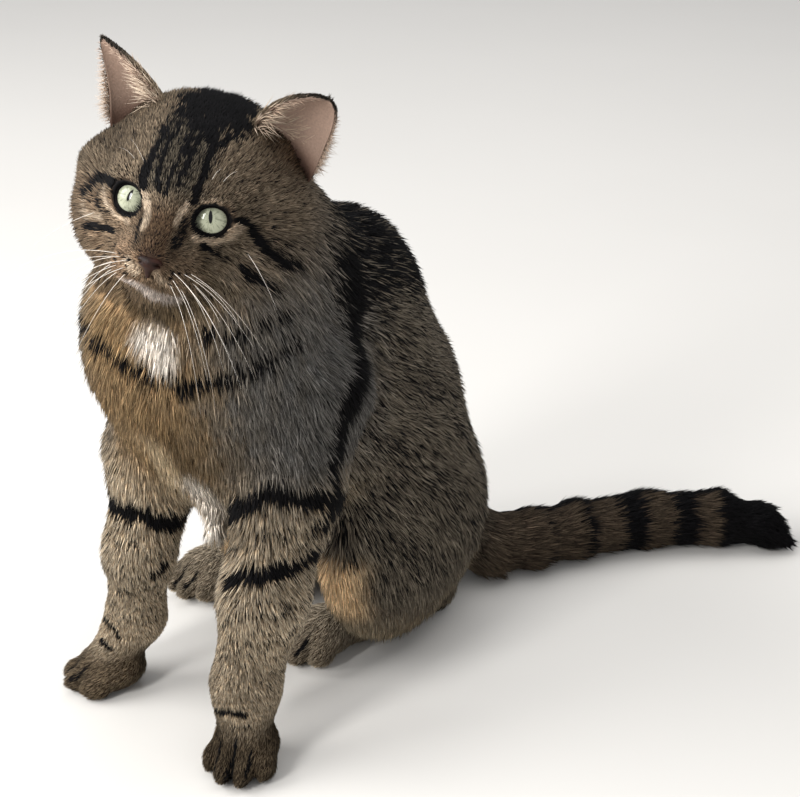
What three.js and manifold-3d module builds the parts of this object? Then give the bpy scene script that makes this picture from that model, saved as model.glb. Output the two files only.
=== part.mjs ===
// A sitting domestic cat, life size, in millimetres: +Z up, the cat looks along -Y, its left side is +X.
// The body is one smooth field of round bones and muscles, out to the tips of the coat. It is meshed,
// set flat on the floor and parted by thin cuts into the pieces that a person would name.
import * as THREE from "three";
import { mergeVertices } from "three/addons/utils/BufferGeometryUtils.js";
import Module from "manifold-3d";

const wasm = await Module();
wasm.setup();

// ---------------------------------------------------------------------------------------------
// Driving sizes. Places are from a point on the floor midway between the tips of the front paws.

const SEAM = 0.3; // gap between neighbouring pieces
const FAR = 900; // larger than the cat, for cutting boxes

// Mesh size of each region: the vertices lie on the true surface, so broad shapes need few.
const CELL = { head: 12, face: 6.2, trunk: 21, thigh: 17, foreleg: 13, foot: 13, paw: 7.5, tail: 13 };

const HEAD = { centre: [0, 45, 283], yaw: 23.9, pitch: -6.3, roll: 11.3 };
const EYE = {
  front: [20.6, -38.6, 0.7],
  gaze: [0.26, -0.95, 0.15],
  radius: 10.8,
  opening: [8.8, 7.4], // half width and half height between the lids
  reach: 24,
};
const EAR = {
  base: [36, 8, 25],
  tip: [57, 0, 62],
  across: [0.8, 0.36, -0.47], // from the inner edge to the outer one
  halfWidth: 21,
  depth: 14,
  tipRadius: 1.8,
  side: 1.8, // wall at the two edges
  back: 3.8, // wall behind the hollow
  bow: 3,
};
const NOSE = { centre: [0, -56.2, -21.5], radii: [6.4, 3.6, 4.6] };
const CLAW = { length: 8, radius: 1.5, dip: 35, sunk: 0.6 }; // tip, short of the toe's outline

// side: +1 left, -1 right
const FORELEG = {
  left: {
    shoulder: [48, 66, 185],
    elbow: [51, 46, 140],
    forearm: [55, 20, 90],
    wrist: [50, 10, 42],
    knuckle: [57, -2, 12],
    points: [7, -21, 0],
    radii: { shoulder: 37, elbow: 28, forearm: 23, wrist: 18 },
  },
  right: {
    shoulder: [-28, 66, 185],
    elbow: [-33, 46, 140],
    forearm: [-34, 26, 85],
    wrist: [-41, 27, 42],
    knuckle: [-52, 13, 12],
    points: [-15, -15, 0],
    radii: { shoulder: 38, elbow: 29, forearm: 19.5, wrist: 16 }, // seen along its flatter side
  },
};
const HIND_LEG = {
  left: { thigh: [51, 144, 67], heel: [44, 182, 15], knuckle: [23, 103, 13], splay: -4 },
  right: { thigh: [-38, 154, 68], heel: [-44, 208, 15], knuckle: [-73, 121, 13], splay: 6 },
};
const THIGH = { radii: [31, 62, 61], lean: -25 };
const TOES = [
  { aside: -14, ahead: 6 },
  { aside: -5, ahead: 14 },
  { aside: 5, ahead: 14 },
  { aside: 14, ahead: 6 },
];
const TOE_RADII = [6.2, 9.5, 8.2];

// The tail lies on the floor and curls to the cat's left: path and radius.
const TAIL = [
  { at: [15, 222, 44], radius: 25 },
  { at: [34, 226, 29], radius: 22 },
  { at: [53, 235, 20], radius: 20.5 },
  { at: [68, 254, 18.5], radius: 20 },
  { at: [85, 280, 18], radius: 19.5 },
  { at: [113, 316, 18], radius: 19.5 },
  { at: [150, 346, 17.5], radius: 19 },
  { at: [174, 359, 15], radius: 16 },
  { at: [190, 362, 8], radius: 7.5 },
];

// ---------------------------------------------------------------------------------------------
// Fields: functions of a point that give the distance to a shape, negative inside.

const vec = (list) => new THREE.Vector3(...list);
const mirrored = ([x, y, z], side) => vec([side * x, y, z]);
const turn = ({ x = 0, y = 0, z = 0 }) =>
  new THREE.Matrix4().makeRotationFromEuler(
    new THREE.Euler(...[x, y, z].map(THREE.MathUtils.degToRad), "ZYX"),
  );

function ellipsoid(centre, radii, rotation = new THREE.Matrix4()) {
  const inverse = rotation.clone().setPosition(vec(centre)).invert();
  const q = new THREE.Vector3();
  const [rx, ry, rz] = radii;
  return (p) => {
    q.copy(p).applyMatrix4(inverse);
    const near = Math.hypot(q.x / rx, q.y / ry, q.z / rz);
    const slope = Math.hypot(q.x / rx ** 2, q.y / ry ** 2, q.z / rz ** 2);
    return (near * (near - 1)) / Math.max(slope, 1e-9);
  };
}

function roundCone(from, to, fromRadius, toRadius) {
  const a = vec(from);
  const axis = vec(to).sub(a);
  const length2 = axis.lengthSq();
  const q = new THREE.Vector3();
  return (p) => {
    q.copy(p).sub(a);
    const h = THREE.MathUtils.clamp(q.dot(axis) / length2, 0, 1);
    return q.addScaledVector(axis, -h).length() - (fromRadius + (toRadius - fromRadius) * h);
  };
}

const blendOf = (a, b, reach) => {
  const h = Math.max(reach - Math.abs(a - b), 0) / reach;
  return Math.min(a, b) - (h * h * reach) / 4;
};

// A list of [reach, field] is joined in turn, each with a fillet of its own reach.
const joined = (list) => (p) =>
  list.reduce((d, [reach, field]) => (d === null ? field(p) : blendOf(d, field(p), reach)), null);

// Both halves of the head are alike.
const symmetric = (field) => {
  const q = new THREE.Vector3();
  return (p) => field(q.set(Math.abs(p.x), p.y, p.z));
};

function placed(field, matrix) {
  const inverse = matrix.clone().invert();
  const q = new THREE.Vector3();
  return (p) => field(q.copy(p).applyMatrix4(inverse));
}

// ---------------------------------------------------------------------------------------------
// Body

const trunk = joined([
  [0, ellipsoid([9, 181, 67], [68, 63, 67])], // rump
  [30, ellipsoid([10, 156, 122], [64, 62, 78], turn({ x: -24 }))], // loin
  [30, ellipsoid([10, 124, 174], [61, 58, 84], turn({ x: -28 }))], // ribs
  [26, ellipsoid([4, 50, 182], [62, 44, 62], turn({ x: -8 }))], // chest
  [26, ellipsoid([8, 99, 215], [57, 52, 47])], // withers
  [14, roundCone([8, 50, 145], [14, 33, 112], 24, 9)], // long hair of the breast, between the forelegs
]);

const neck = joined([
  [0, ellipsoid([0, 54, 232], [64, 56, 48])], // nape and shoulders
  [20, ellipsoid([0, 34, 206], [61, 46, 50])], // bib
  [20, ellipsoid([8, 78, 254], [46, 44, 42])], // back of the neck
]);

const headPlace = new THREE.Matrix4()
  .multiply(turn({ z: HEAD.yaw }))
  .multiply(turn({ x: HEAD.pitch }))
  .multiply(turn({ y: HEAD.roll }))
  .setPosition(vec(HEAD.centre));

const gaze = vec(EYE.gaze).normalize();
const eyeCentre = vec(EYE.front).addScaledVector(gaze, -EYE.radius);

const skull = symmetric(
  joined([
    [0, ellipsoid([0, 10, 7], [50, 48, 42])], // crown
    [12, ellipsoid([0, -12, 6], [40, 31, 32])], // forehead
    [14, ellipsoid([33, 12, -14], [30, 36, 31])], // cheek ruff
    [12, ellipsoid([26, -12, -22], [24, 24, 22])], // cheek
    [12, ellipsoid([0, -8, -30], [34, 34, 20])], // jaw
    [10, roundCone([0, -22, -18], [0, -36, -22], 28, 20)], // muzzle
    [8, roundCone([0, -29, 9], [0, -50.5, -16], 11, 7)], // bridge of the nose
    [5, ellipsoid([10, -42.5, -28], [12.5, 13, 10])], // whisker pad
    [5, ellipsoid([0, -38, -38.5], [13, 12.5, 8])], // chin
    [7, ellipsoid([21, -25, 13], [14, 12, 7])], // brow
    [10, ellipsoid([42, -2, 5], [17, 20, 15])], // temple ruff
    [4, ellipsoid(eyeCentre.toArray(), [12, 12, 12])], // lids
  ]),
);

function footAngle(points) {
  return turn({ z: THREE.MathUtils.radToDeg(Math.atan2(points.x, -points.y)) });
}

// Where each toe's middle lies, for the paw and for its claw.
function toePlaces(knuckle, points) {
  const aside = new THREE.Vector3(-points.y, points.x, 0);
  return TOES.map((toe) =>
    vec(knuckle)
      .addScaledVector(points, toe.ahead)
      .addScaledVector(aside, toe.aside)
      .add(vec([0, 0, -4])),
  );
}

function paw(knuckle, points) {
  const angle = footAngle(points);
  const ball = vec(knuckle).addScaledVector(points, -3);
  return joined([
    [0, ellipsoid(ball.toArray(), [18, 19, 13], angle)],
    ...toePlaces(knuckle, points).map((at) => [3, ellipsoid(at.toArray(), TOE_RADII, angle)]),
  ]);
}

const forelegPoints = (leg) => vec(leg.points).normalize();
const hindPoints = (leg) => vec(leg.knuckle).sub(vec(leg.heel)).setZ(0).normalize();

const foreleg = (leg) =>
  joined([
    [0, roundCone(leg.shoulder, leg.elbow, leg.radii.shoulder, leg.radii.elbow)],
    [16, roundCone(leg.elbow, leg.forearm, leg.radii.elbow, leg.radii.forearm)],
    [10, roundCone(leg.forearm, leg.wrist, leg.radii.forearm, leg.radii.wrist)],
    [10, roundCone(leg.wrist, leg.knuckle, leg.radii.wrist, 13)],
    [6, paw(leg.knuckle, forelegPoints(leg))],
  ]);

const thigh = (leg) => ellipsoid(leg.thigh, THIGH.radii, turn({ x: THIGH.lean, z: leg.splay }));

const hindFoot = (leg) =>
  joined([
    [0, roundCone(leg.heel, leg.knuckle, 19, 14)],
    [6, paw(leg.knuckle, hindPoints(leg))],
  ]);

const tail = joined(
  TAIL.slice(1).map((end, i) => [
    6,
    roundCone(TAIL[i].at, end.at, TAIL[i].radius, end.radius),
  ]),
);

const cat = joined([
  [0, trunk],
  [24, neck],
  [12, thigh(HIND_LEG.left)],
  [8, hindFoot(HIND_LEG.left)],
  [12, foreleg(FORELEG.left)],
  [12, thigh(HIND_LEG.right)],
  [8, hindFoot(HIND_LEG.right)],
  [12, foreleg(FORELEG.right)],
  [10, tail],
  [10, placed(skull, headPlace)],
]);

// ---------------------------------------------------------------------------------------------
// Meshing: a grid of cubes, one vertex in a cube for each sheet of the surface that crosses it, drawn
// onto the surface, and one quad over each grid edge that it crosses. The mesh is closed just inside
// the box it is made in.

// A cube's corners are numbered x + 2y + 4z. An edge is its lower corner and the bit it runs along.
const CORNERS = [0, 1, 2, 3, 4, 5, 6, 7].map((c) => new THREE.Vector3(c & 1, (c >> 1) & 1, c >> 2));
const BITS = [1, 2, 4];
const EDGES = [0, 1, 2, 3, 4, 5, 6, 7].flatMap((c) =>
  BITS.filter((bit) => !(c & bit)).map((bit) => [c, c | bit]),
);
const edgeNumber = (corner, bit) => EDGES.findIndex(([a, b]) => a === corner && b === (corner | bit));
const FACES = BITS.flatMap((bit) => [0, bit]
  .map((level) => EDGES.flatMap(([a, b], e) => ((a & bit) === level && (b & bit) === level ? [e] : []))));

// The crossed edges of a cube in groups, one for each sheet. On a face that four of them cross, the
// two at an inside corner belong together.
function sheets(isInside) {
  const crossed = EDGES.map(([a, b]) => isInside[a] !== isInside[b]);
  const sheetOf = EDGES.map((_, e) => e);
  const join = (e, f) => {
    const [from, to] = [sheetOf[f], sheetOf[e]];
    for (let g = 0; g < EDGES.length; g++) if (sheetOf[g] === from) sheetOf[g] = to;
  };
  for (const face of FACES) {
    const here = face.filter((e) => crossed[e]);
    if (here.length === 2) join(...here);
    else if (here.length === 4)
      for (const e of here)
        for (const f of here)
          if (e < f && EDGES[e].some((c) => isInside[c] && EDGES[f].includes(c))) join(e, f);
  }
  const groups = new Map();
  EDGES.forEach((_, e) => {
    if (crossed[e]) groups.set(sheetOf[e], [...(groups.get(sheetOf[e]) || []), e]);
  });
  return [...groups.values()];
}

function surface(wholeField, box, cell, offset = 0) {
  const inner = box.clone().expandByScalar(-1.5 * cell);
  const middle = inner.getCenter(new THREE.Vector3());
  const half = inner.getSize(new THREE.Vector3()).multiplyScalar(0.5);
  const away = new THREE.Vector3();
  const field = (p) => {
    away.copy(p).sub(middle);
    const [x, y, z] = ["x", "y", "z"].map((axis) => Math.abs(away[axis]) - half[axis]);
    return Math.max(wholeField(p) - offset, x, y, z);
  };
  const size = box.getSize(new THREE.Vector3()).divideScalar(cell).ceil().addScalar(1);
  const [nx, ny, nz] = [size.x, size.y, size.z];
  const node = (i, j, k) => (k * ny + j) * nx + i;
  const least = 0.12 * cell; // keeps the vertices of neighbouring cubes apart
  const value = new Float64Array(nx * ny * nz);
  for (let k = 0; k < nz; k++)
    for (let j = 0; j < ny; j++)
      for (let i = 0; i < nx; i++) {
        const d = field(new THREE.Vector3(i, j, k).multiplyScalar(cell).add(box.min));
        value[node(i, j, k)] = Math.abs(d) > least ? d : Math.sign(d || 1) * least;
      }

  const vertices = [];
  const vertexOf = new Map();
  for (let k = 0; k < nz - 1; k++)
    for (let j = 0; j < ny - 1; j++)
      for (let i = 0; i < nx - 1; i++) {
        const v = CORNERS.map((c) => value[node(i + c.x, j + c.y, k + c.z)]);
        for (const sheet of sheets(v.map((d) => d < 0))) {
          const p = new THREE.Vector3();
          for (const e of sheet) {
            const [a, b] = EDGES[e];
            p.add(CORNERS[a].clone().lerp(CORNERS[b], v[a] / (v[a] - v[b])));
            vertexOf.set(node(i, j, k) * EDGES.length + e, vertices.length);
          }
          p.divideScalar(sheet.length).add(new THREE.Vector3(i, j, k));
          vertices.push(drawnOnto(field, p.multiplyScalar(cell).add(box.min), cell));
        }
      }

  const index = [];
  for (let k = 1; k < nz - 1; k++)
    for (let j = 1; j < ny - 1; j++)
      for (let i = 1; i < nx - 1; i++)
        BITS.forEach((bit, axis) => {
          const inside = value[node(i, j, k)] < 0;
          const end = CORNERS[bit];
          if (inside === value[node(i + end.x, j + end.y, k + end.z)] < 0) return;
          const [u, w] = [BITS[(axis + 1) % 3], BITS[(axis + 2) % 3]];
          const around = [0, u, u | w, w].map((corner) => {
            const c = CORNERS[corner];
            return vertexOf.get(
              node(i - c.x, j - c.y, k - c.z) * EDGES.length + edgeNumber(corner, bit),
            );
          });
          if (!inside) around.reverse();
          const [p, q, r, s] = around;
          const shortPR = vertices[p].distanceTo(vertices[r]) < vertices[q].distanceTo(vertices[s]);
          index.push(...(shortPR ? [p, q, r, p, r, s] : [q, r, s, q, s, p]));
        });
  return new THREE.BufferGeometry().setFromPoints(vertices).setIndex(index);
}

function drawnOnto(field, p, cell) {
  const step = 0.2;
  const start = p.clone();
  for (let round = 0; round < 3; round++) {
    const d = field(p);
    const slope = new THREE.Vector3();
    for (const axis of ["x", "y", "z"]) {
      const q = p.clone();
      q[axis] += step;
      slope[axis] = (field(q) - d) / step;
    }
    p.addScaledVector(slope, -d / Math.max(slope.lengthSq(), 0.1));
  }
  const moved = p.clone().sub(start);
  return moved.length() > cell ? start : p;
}

// ---------------------------------------------------------------------------------------------
// Solids

function solid(geometry) {
  const bare = geometry.clone();
  bare.deleteAttribute("normal");
  bare.deleteAttribute("uv");
  const merged = mergeVertices(bare, 1e-4);
  return new wasm.Manifold(
    new wasm.Mesh({
      numProp: 3,
      vertProperties: merged.attributes.position.array,
      triVerts: new Uint32Array(merged.index.array),
    }),
  );
}

function geometryOf(manifold) {
  const { vertProperties, triVerts } = manifold.getMesh();
  const geometry = new THREE.BufferGeometry();
  geometry.setAttribute("position", new THREE.BufferAttribute(new Float32Array(vertProperties), 3));
  return geometry.setIndex(new THREE.BufferAttribute(triVerts, 1));
}

// All that lies ahead of a plane, half a seam clear of it. With a negative gap it reaches past it.
function ahead({ point, normal }, gap = SEAM / 2) {
  const direction = vec(normal).normalize();
  const matrix = new THREE.Matrix4().makeRotationFromQuaternion(
    new THREE.Quaternion().setFromUnitVectors(new THREE.Vector3(0, 0, 1), direction),
  );
  matrix.setPosition(vec(point).addScaledVector(direction, FAR / 2 + gap));
  return solid(new THREE.BoxGeometry(FAR, FAR, FAR).applyMatrix4(matrix));
}
const behind = ({ point, normal }, gap) =>
  ahead({ point, normal: vec(normal).negate().toArray() }, gap);
const aboveFloor = solid(new THREE.BoxGeometry(FAR, FAR, FAR).translate(0, 0, FAR / 2));

// An upright box, turned about Z. With room it is a seam larger all round, to cut its neighbours.
function block({ centre, size, angle = 0 }, room = 0) {
  const geometry = new THREE.BoxGeometry(...size.map((s) => s + 2 * room));
  geometry.applyMatrix4(turn({ z: angle }).setPosition(vec(centre)));
  return solid(geometry);
}

const bounds = (min, max) => new THREE.Box3(vec(min), vec(max));
const region = (box, cell) => solid(surface(cat, box, cell)).intersect(aboveFloor);
const within = (manifold, ...cutters) => cutters.reduce((left, c) => left.intersect(c), manifold);
const without = (manifold, ...cutters) => cutters.reduce((left, c) => left.subtract(c), manifold);

// ---------------------------------------------------------------------------------------------
// Where the body is parted

const inHead = (point, normal) => ({
  point: vec(point).applyMatrix4(headPlace).toArray(),
  normal: vec(normal).transformDirection(headPlace).toArray(),
});
const throat = inHead([0, -45, -50], [0, 0.27, -0.963]);
const nape = inHead([0, 48, -10], [0, 1, -0.35]);
const headZone = (gap) => within(behind(throat, gap), behind(nape, gap));
const collar = { point: [6, -5, 200], normal: [0, -0.547, 0.838] };
const waist = { point: [10, 120, 150], normal: [0, 0.6, -0.8] };
const hips = { point: [10, 165, 85], normal: [0, 0.6, -0.8] };

const LEG_TOP = 138;
const WRIST_HEIGHT = 29;
const HEEL_OF_HAND = 60; // no forepaw reaches further back
const legBlock = {
  left: { centre: [60 + SEAM / 2, 10, 0], size: [100, 140, 2 * LEG_TOP] },
  right: { centre: [-40 - SEAM / 2, 10, 0], size: [100, 140, 2 * LEG_TOP] },
};
const thighBlock = {
  left: { centre: [87, 150, 0], size: [100, 150, 250] },
  right: { centre: [-76, 158, 0], size: [100, 150, 250] },
};

// The hind foot lies along the floor from heel to toes.
const FOOT_HEIGHT = 28;
function footBlock(leg) {
  const points = hindPoints(leg);
  const middle = vec(leg.heel).lerp(vec(leg.knuckle), 0.5).addScaledVector(points, 4);
  const length = vec(leg.heel).distanceTo(vec(leg.knuckle)) + 66;
  return {
    centre: [middle.x, middle.y, 0],
    size: [46, length, 2 * FOOT_HEIGHT],
    angle: THREE.MathUtils.radToDeg(Math.atan2(points.x, -points.y)),
  };
}

// The tail is cut square to its path at four places.
const TAIL_CUTS = [
  { point: [44, 236, 20], normal: [0.6, 0.8, 0] },
  { point: [76, 267, 20], normal: [0.55, 0.83, 0] },
  { point: [105, 306, 20], normal: [0.62, 0.78, 0] },
  { point: [140, 338, 20], normal: [0.77, 0.63, 0] },
];

// ---------------------------------------------------------------------------------------------
// Coat colours, one material for each region's main colour

const coat = (hex) => new THREE.MeshStandardMaterial({ color: hex, roughness: 0.95, metalness: 0 });
const COLOURS = {
  agouti: coat("#6b6154"),
  dark: coat("#3b3631"),
  buff: coat("#8d7a60"),
  ear: coat("#8a7468"),
  eye: new THREE.MeshStandardMaterial({ color: "#a9b79b", roughness: 0.08, metalness: 0 }),
  nose: new THREE.MeshStandardMaterial({ color: "#6b3f33", roughness: 0.45, metalness: 0 }),
  claw: new THREE.MeshStandardMaterial({ color: "#cfc2ab", roughness: 0.4, metalness: 0 }),
};

const group = new THREE.Group();
function add(name, manifold, material) {
  const mesh = new THREE.Mesh(geometryOf(manifold), material);
  mesh.name = name;
  group.add(mesh);
}

// ---------------------------------------------------------------------------------------------
// Head, eyes, ears and nose

function earSolid(side) {
  const base = mirrored(EAR.base, side);
  const axis = mirrored(EAR.tip, side).sub(base);
  const height = axis.length();
  const up = axis.clone().normalize();
  const across = mirrored(EAR.across, side);
  across.addScaledVector(up, -across.dot(up)).normalize();
  const front = across.clone().cross(up).normalize();
  if (front.y > 0) front.negate();

  const STATIONS = 6;
  const POINTS = 7; // points along the back, and as many along the hollow
  const ROOT = -0.35; // how far the root reaches into the head, as a share of the height
  const EDGE = 0.42 * Math.PI; // how far round each edge curls from the middle of the back
  const rings = [];
  for (let s = 0; s <= STATIONS; s++) {
    const t = ROOT + ((1 - ROOT) * s) / STATIONS;
    const taper = Math.pow(Math.max(1 - t, 0), 0.8);
    const half = EAR.tipRadius + (EAR.halfWidth - EAR.tipRadius) * taper;
    const deep = EAR.tipRadius + (EAR.depth - EAR.tipRadius) * taper;
    const shift = -EAR.bow * Math.sin(Math.PI * THREE.MathUtils.clamp(t, 0, 1));
    const ring = [];
    const put = (x, y) =>
      ring.push(
        base.clone()
          .addScaledVector(up, t * height)
          .addScaledVector(across, x + shift)
          .addScaledVector(front, y),
      );
    const wall = Math.min(EAR.side, half * 0.6);
    const back = Math.min(EAR.back, deep * 1.2);
    for (let i = 0; i <= POINTS; i++) {
      const a = -EDGE + (2 * EDGE * i) / POINTS;
      put(half * Math.sin(a), -deep * Math.cos(a));
    }
    for (let i = POINTS; i >= 0; i--) {
      const a = -EDGE + (2 * EDGE * i) / POINTS;
      put((half - wall) * Math.sin(a), -deep * Math.cos(a) + back * Math.cos(a / 2) ** 2);
    }
    rings.push(ring);
  }
  return solid(loft(rings));
}

// A closed solid through rings of as many points each, its two ends filled strip by strip.
function loft(rings) {
  const n = rings[0].length;
  const index = [];
  for (let s = 0; s < rings.length - 1; s++)
    for (let i = 0; i < n; i++) {
      const [a, b] = [s * n + i, s * n + ((i + 1) % n)];
      index.push(a, b, b + n, a, b + n, a + n);
    }
  const last = (rings.length - 1) * n;
  for (let i = 0; i < n / 2 - 1; i++) {
    const [a, b, c, d] = [i, i + 1, n - 2 - i, n - 1 - i];
    index.push(a, d, c, a, c, b);
    index.push(last + a, last + c, last + d, last + a, last + b, last + c);
  }
  const geometry = new THREE.BufferGeometry().setFromPoints(rings.flat()).setIndex(index);
  return outward(geometry);
}

// Turns the faces round where they point inwards.
function outward(geometry) {
  if (signedVolume(geometry) > 0) return geometry;
  const flipped = [...geometry.index.array];
  for (let i = 0; i < flipped.length; i += 3)
    [flipped[i + 1], flipped[i + 2]] = [flipped[i + 2], flipped[i + 1]];
  return geometry.setIndex(flipped);
}

function signedVolume(geometry) {
  const { position } = geometry.attributes;
  const corner = (i) => new THREE.Vector3().fromBufferAttribute(position, geometry.index.getX(i));
  let volume = 0;
  for (let i = 0; i < geometry.index.count; i += 3)
    volume += corner(i).dot(corner(i + 1).cross(corner(i + 2))) / 6;
  return volume;
}

// The face, with the muzzle and the rims of the eyes, is parted from the head by an upright block.
function faceBlock(room) {
  const [width, height, back, top] = [86, 90, -15, 24];
  return solid(
    new THREE.BoxGeometry(width + 2 * room, FAR, height + 2 * room)
      .translate(0, back - FAR / 2 + room, top - height / 2)
      .applyMatrix4(headPlace),
  );
}

// The opening between the lids: an oval hole from the eyeball's centre out along the gaze.
function lidOpening(side) {
  const hole = new THREE.CylinderGeometry(1, 0.8, EYE.reach, 14)
    .scale(EYE.opening[0], 1, EYE.opening[1])
    .translate(0, EYE.reach / 2, 0);
  const facing = new THREE.Matrix4().makeBasis(
    new THREE.Vector3().crossVectors(gaze, new THREE.Vector3(0, 0, 1)).normalize(),
    gaze,
    new THREE.Vector3(0, 0, 1).addScaledVector(gaze, -gaze.z).normalize(),
  );
  const place = facing.setPosition(eyeCentre);
  if (side < 0) place.premultiply(new THREE.Matrix4().makeScale(-1, 1, 1));
  return solid(outward(hole.applyMatrix4(place).applyMatrix4(headPlace)));
}

function headPieces() {
  const box = bounds([-100, -45, 190], [105, 150, 372]);
  const shape = region(box, CELL.head);
  const clear = solid(surface(cat, box, CELL.head, SEAM));
  const ball = (side, radius) =>
    solid(
      new THREE.SphereGeometry(radius, 14, 8)
        .rotateX(Math.PI / 2)
        .translate(side * eyeCentre.x, eyeCentre.y, eyeCentre.z)
        .applyMatrix4(headPlace),
    );
  const nose = (room) =>
    solid(
      new THREE.SphereGeometry(1, 12, 6)
        .scale(...NOSE.radii.map((r) => r + room))
        .translate(...NOSE.centre)
        .applyMatrix4(headPlace),
    );
  const whole = within(shape, headZone());
  const sockets = [ball(1, EYE.radius + SEAM), ball(-1, EYE.radius + SEAM)];
  add("head", without(whole, faceBlock(SEAM / 2), ...sockets), COLOURS.agouti);
  const front = within(region(box, CELL.face), faceBlock(-SEAM / 2), headZone());
  const holes = [nose(SEAM), lidOpening(1), lidOpening(-1), ...sockets];
  add("face", without(front, ...holes), COLOURS.buff);
  add("eye_left", ball(1, EYE.radius), COLOURS.eye);
  add("eye_right", ball(-1, EYE.radius), COLOURS.eye);
  add("nose", nose(0), COLOURS.nose);
  for (const [name, side] of [["ear_left", 1], ["ear_right", -1]]) {
    const ear = earSolid(side);
    add(name, without(solid(geometryOf(ear).applyMatrix4(headPlace)), clear), COLOURS.ear);
  }
}

// ---------------------------------------------------------------------------------------------
// Neck and trunk

function trunkPieces() {
  const shape = region(bounds([-120, -60, -35], [125, 290, 372]), CELL.trunk);
  const legs = [block(legBlock.left, SEAM), block(legBlock.right, SEAM)];
  const feet = [
    block(footBlock(HIND_LEG.left), SEAM),
    block(footBlock(HIND_LEG.right), SEAM),
  ];
  const thighs = [block(thighBlock.left, SEAM), block(thighBlock.right, SEAM)];
  const body = without(shape, headZone(-SEAM / 2));
  add("neck", within(body, ahead(collar)), COLOURS.dark);
  add("chest", without(within(body, behind(collar), behind(waist)), ...legs, ...thighs), COLOURS.buff);
  const middle = within(body, behind(collar), ahead(waist), behind(hips));
  add("loin", without(middle, ...thighs, ...legs, ...feet), COLOURS.agouti);
  const rear = within(body, ahead(hips), behind(TAIL_CUTS[0]));
  add("rump", without(rear, ...thighs, ...feet, ...legs), COLOURS.agouti);
}

// ---------------------------------------------------------------------------------------------
// Legs, with claws that lie in the toes

function clawSolid(at, points, room) {
  const cone = new THREE.ConeGeometry(CLAW.radius + room, CLAW.length + 2 * room, 8);
  const dip = THREE.MathUtils.degToRad(CLAW.dip);
  const direction = points.clone().multiplyScalar(Math.cos(dip)).setZ(-Math.sin(dip));
  cone.applyQuaternion(
    new THREE.Quaternion().setFromUnitVectors(new THREE.Vector3(0, 1, 0), direction.normalize()),
  );
  const tip = at.clone().addScaledVector(points, TOE_RADII[1] - CLAW.sunk);
  tip.z = 3;
  const centre = tip.addScaledVector(direction, -CLAW.length / 2);
  return solid(cone.translate(...centre.toArray()));
}

function pawPieces(name, shape, knuckle, points) {
  const toes = toePlaces(knuckle, points);
  add(name, without(shape, ...toes.map((at) => clawSolid(at, points, SEAM))), COLOURS.agouti);
  toes.forEach((at, i) => add(`${name}_claw_${i + 1}`, clawSolid(at, points, 0), COLOURS.claw));
}

function legPieces(name) {
  const leg = FORELEG[name];
  const at = legBlock[name].centre[0];
  const shape = region(bounds([at - 65, -60, -25], [at + 65, 110, 175]), CELL.foreleg);
  const fine = region(bounds([at - 56, -48, -20], [at + 56, 90, 50]), CELL.paw);
  const whole = block(legBlock[name]);
  const wrist = { point: [0, 0, WRIST_HEIGHT], normal: [0, 0, 1] };
  add(`foreleg_${name}`, within(shape, whole, ahead(wrist)), COLOURS.buff);
  const front = behind({ point: [0, HEEL_OF_HAND, 0], normal: [0, 1, 0] });
  pawPieces(`forepaw_${name}`, within(fine, whole, behind(wrist), front), leg.knuckle, forelegPoints(leg));

  const hind = HIND_LEG[name];
  const back = hind.thigh[0];
  const rear = region(bounds([back - 85, 40, -30], [back + 85, 280, 175]), CELL.thigh);
  const fineRear = region(bounds([back - 75, 60, -20], [back + 75, 260, 50]), CELL.paw);
  const coarseRear = region(bounds([back - 85, 40, -30], [back + 85, 280, 75]), CELL.foot);
  const rest = [block(footBlock(hind), SEAM), block(legBlock[name], SEAM)];
  const upper = within(rear, block(thighBlock[name]), behind(TAIL_CUTS[0]));
  add(`thigh_${name}`, without(upper, ...rest), COLOURS.agouti);
  const sole = block(footBlock(hind));
  const points = hindPoints(hind);
  const toeRoot = {
    point: vec(hind.knuckle).addScaledVector(points, -14).toArray(),
    normal: points.toArray(),
  };
  add(`hind_foot_${name}`, within(coarseRear, sole, behind(toeRoot)), COLOURS.dark);
  pawPieces(`hind_paw_${name}`, within(fineRear, sole, ahead(toeRoot)), hind.knuckle, points);
}

// ---------------------------------------------------------------------------------------------
// Tail, in four lengths

function tailPieces() {
  const shape = region(bounds([0, 200, -20], [220, 400, 75]), CELL.tail);
  const names = ["tail_base", "tail_near", "tail_far", "tail_tip"];
  names.forEach((name, i) => {
    const here = [ahead(TAIL_CUTS[i])];
    if (TAIL_CUTS[i + 1]) here.push(behind(TAIL_CUTS[i + 1]));
    add(name, within(shape, ...here), i < 3 ? COLOURS.agouti : COLOURS.dark);
  });
}

headPieces();
trunkPieces();
legPieces("left");
legPieces("right");
tailPieces();

// The part's origin is on the floor under the middle of its box.
const extent = new THREE.Box3().setFromObject(group);
const middle = extent.getCenter(new THREE.Vector3());
group.position.set(-middle.x, -middle.y, 0);

export default group;
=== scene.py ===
import math

import bpy
import numpy as np
import openvdb
from mathutils import Matrix, Vector


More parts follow.
